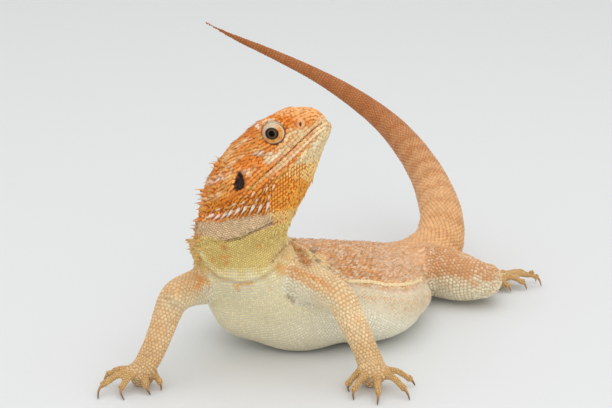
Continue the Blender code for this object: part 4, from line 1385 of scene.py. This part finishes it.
NECK_SPIKES = [
    ((200.0, 219.0), (194.6, 221.6)), ((198.0, 226.0), (191.4, 228.6)), ((195.6, 232.0), (188.0, 236.0)),
    ((193.0, 238.0), (185.0, 241.2)), ((192.4, 243.6), (184.2, 246.2)), ((193.4, 249.0), (186.0, 252.6)),
    ((197.4, 236.0), (191.0, 240.0)), ((197.0, 244.0), (190.6, 248.0)), ((198.6, 254.6), (192.6, 259.4)),
    ((199.0, 262.0), (193.6, 266.6)), ((198.6, 222.6), (191.8, 224.6)), ((196.6, 229.2), (189.4, 232.0)),
    ((194.0, 235.0), (186.4, 238.4)), ((192.6, 240.8), (184.0, 243.6)), ((194.6, 246.4), (186.4, 249.8)),
    ((195.8, 252.0), (189.0, 256.0)), ((199.6, 258.2), (194.0, 262.8)), ((200.4, 232.6), (194.4, 235.6)),
    ((200.2, 240.0), (194.0, 243.4)), ((200.6, 248.6), (194.8, 252.6)),
]
RUFF = [
    ((219.0, 165.0), (209.0, 167.4)), ((216.4, 177.0), (206.0, 182.4)), ((213.6, 181.6), (204.6, 187.4)),
    ((205.4, 190.0), (193.4, 194.4)), ((206.4, 194.4), (194.6, 199.4)), ((208.6, 198.4), (197.4, 203.0)),
    ((205.4, 203.0), (193.0, 207.6)), ((206.6, 207.6), (194.6, 213.0)),
]
SHOULDER_SPIKES = [
    ((299.0, 240.5), (296.4, 234.6)), ((293.0, 245.5), (290.6, 241.0)), ((297.5, 244.5), (294.6, 240.4)),
    ((302.0, 245.0), (299.4, 240.6)), ((306.5, 246.5), (304.0, 242.6)), ((296.0, 249.5), (293.6, 245.6)),
    ((300.5, 250.0), (297.8, 246.0)), ((305.0, 251.0), (302.4, 247.2)), ((310.0, 251.5), (307.6, 247.8)),
    ((298.5, 256.0), (296.0, 252.0)), ((303.0, 256.5), (300.4, 252.8)), ((307.5, 257.5), (305.0, 254.0)),
    ((301.0, 262.0), (298.6, 258.2)), ((305.5, 262.5), (303.0, 259.0)), ((310.5, 262.0), (308.0, 258.6)),
    ((314.5, 257.0), (312.0, 253.4)), ((313.0, 247.5), (310.6, 243.8)), ((319.0, 252.5), (316.4, 249.0)),
]
spikes = [spikes_at(*each) for each in (
    (SPIKES, 2.0, WHITE, 0.92, 0.45),
    (SMALL_SPIKES[::2], 1.5, PALE, 0.7, 0.5),
    (SMALL_SPIKES[1::2], 1.5, AMBER, 0.6, 0.5),
    (REAR_SPIKES, 2.2, AMBER, 0.55, 0.5),
    (RUFF[::2], 2.8, ORANGE, 0.5, 0.45),
    (RUFF[1::2], 2.6, AMBER, 0.5, 0.45),
    (NECK_SPIKES[::2], 2.4, ORANGE, 0.7, 0.5),
    (NECK_SPIKES[1::2], 2.4, SALMON, 0.7, 0.5),
    (SHOULDER_SPIKES[::2], 2.1, RUST, 0.7, 0.55),
    (SHOULDER_SPIKES[1::2], 2.1, ORANGE, 0.75, 0.55),
)]
print("spikes:", sum(len(rows["place"]) for _, rows, _, _ in spikes))

# %% [markdown]
# Now the beard's own rows fill the room between lips and spikes. In front they hang upright, at the rear they
# slant back, in the fold under the beard they lie across, and on the throat they hang again.

# %% Beard, fold and throat
BEARD_FRONT = [(286, 172), (304.7, 156), (326, 152), (322, 190.8), (306, 207.1), (294, 220), (270.0, 227.6),
               (266.7, 209.3), (270, 188)]
BEARD_REAR = [(249.4, 194.0), (262.4, 184.3), (278, 175), (270, 190), (269.2, 212), (258.1, 216.8),
              (240.7, 218), (220.1, 217), (205.1, 214.4), (207.1, 204.7), (222.9, 202.4), (236.2, 200.2)]
front = lattice_in(BEARD_FRONT, 90, 2.75, 3.9, 1.05, (-0.18, 1.0))
rear = lattice_in(BEARD_REAR, 122, 3.3, 4.2, 1.3, (-0.62, 0.78))
fold_rows = lattice_in(FOLD, -14, 1.9, 2.7, 0.70, (-0.97, 0.26))
throat_rows = lattice_in(THROAT, 80, 2.0, 2.4, 0.76, (-0.2, 1.0))
print("scales:", {"front": len(front["place"]), "rear": len(rear["place"]), "fold": len(fold_rows["place"])})

# %% [markdown]
# The rest of the head is laid in rows from the snout back. Before the eyes the scales are plates, and behind
# them they are keeled, with a spike here and there. Their sizes are drawn by chance, because even ones look
# like tiles.

# %% Scales of the head
EYE_RUN = 20
HEAD_WIDTH, HEAD_STEP = 1.4, 1.15
head_rows = lay_rows("head", 0.0, bones["head"]["run"][-1] - 2, lambda run: HEAD_WIDTH, HEAD_STEP,
                     front_cap=True, jitter=0.12)
big = chance.random(len(head_rows["width"]))
head_rows["width"] = head_rows["width"] * (0.88 + 0.35 * big)
behind = head_frame(head_rows["place"])[0] > EYE_RUN
lips["scale"] = lips["scale"] * 0.94
lips["gap"] = lips["gap"] * 0.3 + lips["scale"] * 0.7
build_scales("scales_lips", [("plate", lips, 1.5, 0.12)])
rear["way"] = unit(rear["way"] + 0.25 * chance.normal(size=rear["way"].shape))
rear["scale"] = blend_in(rear["scale"], AMBER, 0.8 * (chance.random(len(rear["scale"])) > 0.7))
build_scales("scales_beard", [("keeled", front, 1.4, 0.36), ("spine", rear, 1.35, 0.6),
                              ("flat", fold_rows, 1.7, 0.12), ("flat", throat_rows, 1.15, 0.12)])
build_scales("scales_head", [("plate", part_of(head_rows, ~behind), 1.15, 0.14),
                             ("keeled", part_of(head_rows, behind & (big < 0.85)), 1.35, 0.34),
                             ("spine", part_of(head_rows, behind & (big >= 0.85)), 1.7, 0.6)])
build_scales("spikes_head", spikes)

# %% [markdown]
# Round the tail the scales stand in rings and get finer towards its tip. Along each flank runs a cream ridge,
# which parts the rough back from the smooth belly. It is a single row of larger plates, and it is laid before
# its neighbours, so that nothing stands in its way.

# %% Rows of the tail and the ridge
TAIL_START, TAIL_STEP = 140, 1.5
RIDGE_WIDTH, RIDGE_STEP = 1.9, 1.5
tail_rows = lay_rows("spine", TAIL_START, spine["run"][-1] - 0.6,
                     lambda run: 0.8 + 0.11 * at_run(spine, "size", run), TAIL_STEP)
ridge_rows = {"place": [], "way": []}
for run in np.arange(ridge_marks["run"][0], ridge_marks["run"][-1], RIDGE_STEP):
    centre, along, top, side = cross_section(spine, run)
    low = pi * np.interp(run, ridge_marks["run"], ridge_marks["low"])
    for sign in (1, -1):
        hit = tree.ray_cast(centre, top * cos(low) + sign * side * sin(low), RAY)[0]
        ridge_rows["place"].append(list(hit))
        ridge_rows["way"].append(along)
ridge_rows = {key: np.array(value) for key, value in ridge_rows.items()}
ridge_rows["width"] = np.full(len(ridge_rows["place"]), RIDGE_WIDTH)
ridge_rows["place"], ridge_rows["normal"] = on_skin(ridge_rows["place"])
ridge_rows = settle(ridge_rows, 0.3)
ridge_rows["scale"] = ridge_rows["scale"] * 0.35 + CREAM * 0.6
# Painted shade at the foot of each ridge plate: its base is a darker copy of its colour.
ridge_rows["gap"] = ridge_rows["scale"] * 0.85
print("scales in the tail:", len(tail_rows["place"]), "and in the ridges:", len(ridge_rows["place"]))

# %% [markdown]
# Above the ridge the scales are keeled and uneven, with spikes among them, most of all near the ridge. Below
# it they are small, flat and regular. The belly's coat is made in two halves, to keep each mesh light.

# %% Scales of the back and belly
BACK_WIDTH, BACK_STEP = 1.5, 1.15
BELLY_WIDTH, BELLY_STEP = 1.0, 0.86
LEFT_FROM = -22


def on_back(rows):
    """Whether roots are above the flank ridge, and not on the throat or chest."""
    _, run, angle, _ = locate(rows["place"])
    chest = (rows["place"][:, 1] < at_run(spine, "centre", run)[1] - 3) & (run < 60)
    return (below_ridge(run, angle) < 0.2) & ~chest


back_rows = lay_rows("spine", 34, TAIL_START + 1, lambda run: BACK_WIDTH, BACK_STEP,
                     jitter=0.12, keep=on_back)
belly_rows = lay_rows("spine", 4, TAIL_START + 1, lambda run: BELLY_WIDTH, BELLY_STEP, apart=0.72)
lift = chance.random(len(back_rows["width"]))
back_rows["width"] = back_rows["width"] * (0.85 + 0.45 * lift)
back_rows["scale"] = np.clip(back_rows["scale"] * (0.92 + 0.2 * lift[:, None]), 0, 1)
speck = chance.random(len(back_rows["width"]))
back_rows["scale"] = blend_in(back_rows["scale"], LAVENDER, 0.7 * (speck > 0.8))
back_rows["scale"] = blend_in(back_rows["scale"], RUST, 0.35 * (speck < 0.12))
crest = np.abs(below_ridge(*locate(back_rows["place"])[1:3])) < 1.0
tall = (lift > 0.9) | (crest & (lift > 0.35))
build_scales("scales_back", [("keeled", part_of(back_rows, ~tall), 1.3, 0.34),
                             ("spine", part_of(back_rows, tall), 1.5, 0.62),
                             ("plate", ridge_rows, 1.3, 0.16)])
left_side = belly_rows["place"][:, 0] < LEFT_FROM
build_scales("scales_belly_1", [("flat", part_of(belly_rows, left_side), 1.1, 0.05)])
build_scales("scales_belly_2", [("flat", part_of(belly_rows, ~left_side), 1.1, 0.05)])
build_scales("scales_tail", [("keeled", tail_rows, 1.2, 0.17)])

# %% [markdown]
# Arms and legs wear rounded rhombic scales, pale in the middle with orange skin showing between them. They
# get smaller at the wrist, flatter on the inner side, and smallest on fingers and toes.

# %% Scales of the limbs
LIMB_WIDTH, WRIST_WIDTH, LIMB_STEP = 1.6, 1.2, 1.25
DIGIT_WIDTH, DIGIT_STEP = 0.9, 0.8
limb_groups = {}
for name in LIMBS:
    wrist = bones[name]["run"][-1] - 7
    rows = lay_rows(name, 0, bones[name]["run"][-1],
                    lambda run: LIMB_WIDTH if run < wrist else WRIST_WIDTH, LIMB_STEP)
    inner = (rows["normal"][:, 2] < -0.1) & (locate(rows["place"])[1] < 32)
    limb_groups[name] = [("rhombic", part_of(rows, ~inner), 1.05, 0.17),
                         ("flat", part_of(rows, inner), 1.05, 0.07)]
for limb in DIGITS:
    groups = []
    for number in range(1, 6):
        name = f"{limb}_{number}"
        rows = lay_rows(name, 0.3, bones[name]["run"][-1], lambda run: DIGIT_WIDTH, DIGIT_STEP)
        groups.append(("rhombic", rows, 1.1, 0.16))
    build_scales(f"scales_{limb}", groups)
build_scales("scales_arms", limb_groups["arm_left"] + limb_groups["arm_right"])
build_scales("scales_legs", limb_groups["leg_left"] + limb_groups["leg_right"])

# %% [markdown]
# Between the sets of rows some skin is still bare: behind the jaw, in the armpits and between the toes. Rows
# can't be fitted there, so it is filled like a pavement: places are drawn by chance, and one is taken if it
# is clear of all others.

# %% Fill the bare skin
TRIES = 420000
PAVING = 0.80
CELL = 1.4


def fill_bare(tries):
    """Scale roots on all skin that has none yet."""
    a, b, c, d = (skin_places[skin_faces[:, i]] for i in range(4))
    area = np.linalg.norm(np.cross(c - a, d - b), axis=1)
    pick = chance.choice(len(skin_faces), tries, p=area / area.sum())
    u, v = chance.random((2, tries, 1))
    places = (a[pick] * (1 - u) + b[pick] * u) * (1 - v) + (d[pick] * (1 - u) + c[pick] * u) * v
    gap, taken = nearest_laid(places)
    bare = gap > PAVING * (1.0 + taken) / 2
    places, taken, gap = places[bare], taken[bare], gap[bare]
    bone_at = locate(places)[0]
    width = np.where(bone_at == HEAD_BONE, 1.3, np.where(bone_at == SPINE_BONE, 1.15, 1.35))
    width[bone_at > bone_names.index("leg_right")] = 0.85
    cells = {}
    chosen = []
    for i in np.flatnonzero((gap > PAVING * (width + taken) / 2) & free_of_holes(places)):
        key = tuple(np.floor(places[i] / CELL).astype(int))
        near = [j for x in (-1, 0, 1) for y in (-1, 0, 1) for z in (-1, 0, 1)
                for j in cells.get((key[0] + x, key[1] + y, key[2] + z), ())]
        if all(np.linalg.norm(places[i] - places[j]) > PAVING * width[i] for j in near):
            cells.setdefault(key, []).append(i)
            chosen.append(i)
    found = {"width": width[chosen], "way": np.zeros((len(chosen), 3))}
    found["place"], found["normal"] = on_skin(places[chosen])
    bone_at, run, _, _ = locate(found["place"])
    for i, bone in enumerate(bones.values()):
        found["way"][bone_at == i] = at_run(bone, "along", run[bone_at == i]).T
    return settle(found, 0.0)


filling = fill_bare(TRIES)
build_scales("scales_between", [("flat", filling, 1.1, 0.24)])

# %% [markdown]
# The eyeball starts as a sphere whose pole looks out along the gaze, and its clear front is pushed out a
# little. The pupil, the thin gold ring round it and the dark brown iris are painted by the distance from that
# pole. They could be discs of their own, but paint under one glossy surface catches the light as a wet eye
# does.

# %% Eyeballs
PUPIL, GOLD, IRIS = 1.16, 1.44, 2.25
IRIS_RAYS = 36
for side, centre in EYE_PLACES.items():
    gaze = GAZE[side]
    turn = Vector(gaze).to_track_quat("Z", "Y").to_euler()
    bpy.ops.object.select_all(action="DESELECT")
    bpy.ops.mesh.primitive_uv_sphere_add(segments=96, ring_count=120, radius=EYE_SIZE * MM,
                                         location=Vector(centre) * MM, rotation=turn)
    eyeball = bpy.context.object
    eyeball.name = eyeball.data.name = f"eyeball_{side}"
    bpy.ops.object.transform_apply(location=True, rotation=True, scale=True)
    places = places_of(eyeball.data)
    gap, along = off_gaze(places, side)
    gap[along < 0] += 9.0
    move_to(eyeball.data, places + gaze * (0.25 * bell(gap, 1.6))[:, None])
    round_gaze = np.arctan2((places - centre) @ UP, (places - centre) @ np.cross(UP, gaze))
    rays = 0.5 + 0.5 * np.sin(IRIS_RAYS * round_gaze + 2 * np.sin(5 * gap))
    colour = IRIS_BROWN * (0.75 + 0.5 * rays)[:, None]
    colour = blend_in(colour, IRIS_GOLD, bell(gap - GOLD, 0.13) * 0.45)
    colour = blend_in(colour, PUPIL_BLACK, 1 - ramp(gap, PUPIL - 0.04, PUPIL + 0.08))
    # Past the iris the eyeball is painted dark, as shade under the lids' edge.
    colour = blend_in(colour, DARK, ramp(gap, IRIS - 0.35, IRIS + 0.1))
    dress(eyeball, colour, eye_finish)
    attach(eyeball, "root")
    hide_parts(f"eye_{side}")
    print(eyeball.name, "has", len(eyeball.data.polygons), "faces")

# %% [markdown]
# The lids are a shell over the eyeball with an oval opening: a closed ring whose section goes out over the
# lid and back behind it. Each step of the section has a distance and a radius from the middle of the eye. The
# distance counts from the edge of the opening on the lid, and from the gaze line behind it. Fine granules
# stand on the lids in rings.

# %% Eyelids
OPENING = (2.45, 2.05)
LID_SECTION = [
    (0.30, 3.95), (0.06, 4.00), (0.00, 4.22), (0.04, 4.45), (0.20, 4.62), (0.42, 4.60), (0.58, 4.50),
    (0.80, 4.60), (1.04, 4.62), (1.24, 4.54), (1.44, 4.62), (1.66, 4.63), (1.86, 4.58), (2.02, 4.64),
]
LID_OUTER = [(4.45, 4.78), (4.62, 4.74), (4.30, 4.40), (3.60, 3.95)]
LID_PLACES = 96
GRANULE_RINGS = [(0.52, 34), (0.95, 40), (1.42, 46), (1.85, 52)]
GRANULE_WIDTH, GRANULE_RADIUS = 0.52, 4.60


def edge_at(angle):
    """How far the edge of the opening is from the gaze line."""
    return 1 / np.hypot(np.cos(angle) / OPENING[0], np.sin(angle) / OPENING[1])


def lid_axes(side):
    """The gaze and the two ways across it: along the opening and up."""
    gaze = GAZE[side]
    wide = CAMERA_RIGHT if side == "right" else CAMERA_RIGHT - 2 * RIGHT * (CAMERA_RIGHT @ RIGHT)
    wide = unit(wide - gaze * (wide @ gaze))
    high = np.cross(gaze, wide)
    return gaze, wide, high * np.sign(high @ UP)


def lid_place(side, angle, out, radius):
    """A place on the lids: round the opening, out from it, and off the middle of the eye."""
    gaze, wide, high = lid_axes(side)
    gap = np.minimum(edge_at(angle) + out, radius * 0.985)
    flat = np.cos(angle)[..., None] * wide + np.sin(angle)[..., None] * high
    return EYE_PLACES[side] + gaze * np.sqrt(radius**2 - gap**2)[..., None] + flat * gap[..., None]


def lid_colours(angle, out):
    """Grey and cream above, orange below, and painted shade at the rim where the lid turns in and in the
    outer crease.
    """
    colour = blend_in(ORANGE, AMBER, 0.5 + 0.5 * np.sin(7 * angle + 2))
    pale = bell(out - 1.7, 0.2) * (0.15 + 0.45 * ramp(np.cos(angle + 0.7), -0.3, 0.6))
    colour = blend_in(colour, PALE, pale)
    upper = ramp(np.sin(angle - 0.85), -0.05, 0.4)
    colour = blend_in(colour, LID_GREY, upper * 0.95)
    colour = blend_in(colour, PALE, ramp(np.sin(angle - 0.2), 0.3, 0.9) * 0.35)
    # Painted shade where the lid turns in towards the eyeball.
    colour = blend_in(colour, DARK, (1 - ramp(out, 0.10, 0.34)) * 0.95)
    # Painted shade in the outer crease, deeper towards the front.
    front = 0.3 + 0.45 * ramp(np.cos(angle + 0.7), -0.5, 0.6)
    return blend_in(colour, DARK, ramp(out, 1.84, 2.02) * front)


lid_granules = []
for side, centre in EYE_PLACES.items():
    count = LID_PLACES
    angle = np.arange(count) / count * 2 * pi
    rings = [lid_place(side, angle, out, radius) for out, radius in LID_SECTION]
    rings += [lid_place(side, angle, gap - edge_at(angle), radius) for gap, radius in LID_OUTER]
    outs = np.repeat([out for out, _ in LID_SECTION] + [2.5] * len(LID_OUTER), count)
    faces = []
    for i in range(len(rings)):
        after = (i + 1) % len(rings)
        for j in range(count):
            k = (j + 1) % count
            faces.append((i * count + j, i * count + k, after * count + k, after * count + j))
    mesh = bpy.data.meshes.new(f"eyelids_{side}")
    mesh.from_pydata((np.concatenate(rings) * MM).tolist(), [], faces)
    eyelids = add_object(mesh.name, mesh)
    shell = bmesh.new()
    shell.from_mesh(mesh)
    bmesh.ops.recalc_face_normals(shell, faces=shell.faces)
    shell.to_mesh(mesh)
    shell.free()
    dress(eyelids, lid_colours(np.tile(angle, len(rings)), outs), skin_finish)
    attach(eyelids, "root")
    for out, number in GRANULE_RINGS:
        around = (np.arange(number) + chance.normal(0, 0.08, number)) / number * 2 * pi
        place = lid_place(side, around, out, GRANULE_RADIUS)
        normal = unit(place - centre)
        way = across(unit(normal - GAZE[side] * (normal @ GAZE[side])[:, None]), normal)
        tint = lid_colours(around, np.full(number, out + 0.2)) * (1 + chance.normal(0, 0.08, number))[:, None]
        # Painted shade at the foot of each granule: its base is a darker copy of its colour.
        lid_granules.append({"place": place, "way": way, "normal": normal, "gap": tint * 0.55, "scale": tint,
                             "width": np.full(number, GRANULE_WIDTH)})
lid_granules = merged(*lid_granules)
build_scales("scales_lids", [("flat", lid_granules, 0.95, 0.42)])

# %% [markdown]
# Each nostril is a smooth mound with a small hole: a flattened ring that leans with the skin. Its hole is
# painted dark as shade, laid out as the camera sees it, and its rear edge is rusty.

# %% Nostrils
NOSTRIL_RING, NOSTRIL_TUBE = 1.14, 0.77
for side in (1, -1):
    place, normal = (part[0] for part in on_skin([in_head(NOSTRIL[0], side * NOSTRIL[1], NOSTRIL[2])]))
    place = place + normal * 1.0
    turn = Vector(normal).to_track_quat("Z", "Y").to_euler()
    bpy.ops.object.select_all(action="DESELECT")
    bpy.ops.mesh.primitive_torus_add(major_segments=40, minor_segments=16, major_radius=NOSTRIL_RING * MM,
                                     minor_radius=NOSTRIL_TUBE * MM, location=Vector(place) * MM,
                                     rotation=turn)
    nostril = bpy.context.object
    nostril.name = nostril.data.name = "nostril_right" if side > 0 else "nostril_left"
    nostril.scale = (1.0, 1.04, 0.62)
    bpy.ops.object.transform_apply(location=True, rotation=True, scale=True)
    away = mirrored(places_of(nostril.data)) - in_head(*NOSTRIL)
    level, upright = away @ CAMERA_RIGHT, away @ CAMERA_UP
    # Painted shade in the nostril's hole.
    hole = 1 - ramp(np.hypot((level - 0.1) / 0.42, upright / 0.82), 0.8, 1.15)
    rim = blend_in(NOSTRIL_TAN, NOSTRIL_RUST, ramp(-level, 0.5, 1.3) * 0.8)
    dress(nostril, blend_in(rim, DARK, hole), skin_finish)
    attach(nostril, "root")
    print(nostril.name, "stands at", place.round(1).tolist())

# %% [markdown]
# The claws are copies of the solids, which already have the right curve. They are closed up, rounded by
# subdivision, and painted paler at the root than at the tip. The ones of the feet are paler all over.

# %% Claws
for limb in DIGITS:
    names = [f"claw_{limb}_{number}" for number in range(1, 6)]
    copies = [add_object("claw", nodes[name].data.copy()) for name in names]
    claw = join_all(copies, f"claws_{limb}", quads=True)
    rounder = claw.modifiers.new("rounder", "SUBSURF")
    rounder.levels = rounder.render_levels = 2
    bpy.ops.object.modifier_apply(modifier=rounder.name)
    claw.data.materials.clear()
    places = places_of(claw.data)
    move_to(claw.data, places + normals_of(claw.data) * 0.10)
    places = places_of(claw.data)
    tip = (1 - ramp(places[:, 2], 0.6, 3.6)) * (0.35 if limb.startswith("foot") else 1.0)
    dress(claw, blend_in(HORN_PALE, HORN_DARK, tip), horn_finish)
    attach(claw, "root")
    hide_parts(*names)
    print(claw.name, "has", len(claw.data.polygons), "faces")

# %% [markdown]
# The photograph was taken in soft light from above, with a pale floor that runs into the background. A bright
# sky gives most of the light, and two large lamps, one above and one in front, give the scales their shadows.

# %% Floor and light
bpy.ops.object.select_all(action="DESELECT")
bpy.ops.mesh.primitive_plane_add(size=6.0, location=(0, 0, 0))
floor = bpy.context.object
floor.name = "floor"
floor_finish = bpy.data.materials.new("pale floor")
floor_finish.use_nodes = True
floor_finish.node_tree.nodes["Principled BSDF"].inputs["Base Color"].default_value = (0.68, 0.70, 0.71, 1)
floor_finish.node_tree.nodes["Principled BSDF"].inputs["Roughness"].default_value = 0.6
floor.data.materials.append(floor_finish)

world = bpy.data.worlds.new("studio")
bpy.context.scene.world = world
world.use_nodes = True
world.node_tree.nodes["Background"].inputs["Color"].default_value = (1.0, 0.99, 0.975, 1)
world.node_tree.nodes["Background"].inputs["Strength"].default_value = 0.92
for name, place, size, power in (
    ("soft box above", (0.12, 0.05, 1.05), 1.2, 2.6),
    ("soft box at the front", (0.10, -1.00, 0.60), 0.8, 3.4),
):
    bpy.ops.object.light_add(type="AREA", location=place)
    lamp = bpy.context.object
    lamp.name = name
    lamp.data.size = size
    lamp.data.energy = power
    lamp.rotation_euler = (Vector((0, 0.02, 0.04)) - Vector(place)).to_track_quat("-Z", "Y").to_euler()
bpy.context.scene.view_settings.view_transform = "Standard"

# %% [markdown]
# At the end nothing is left selected.

# %% Finish
bpy.ops.object.select_all(action="DESELECT")
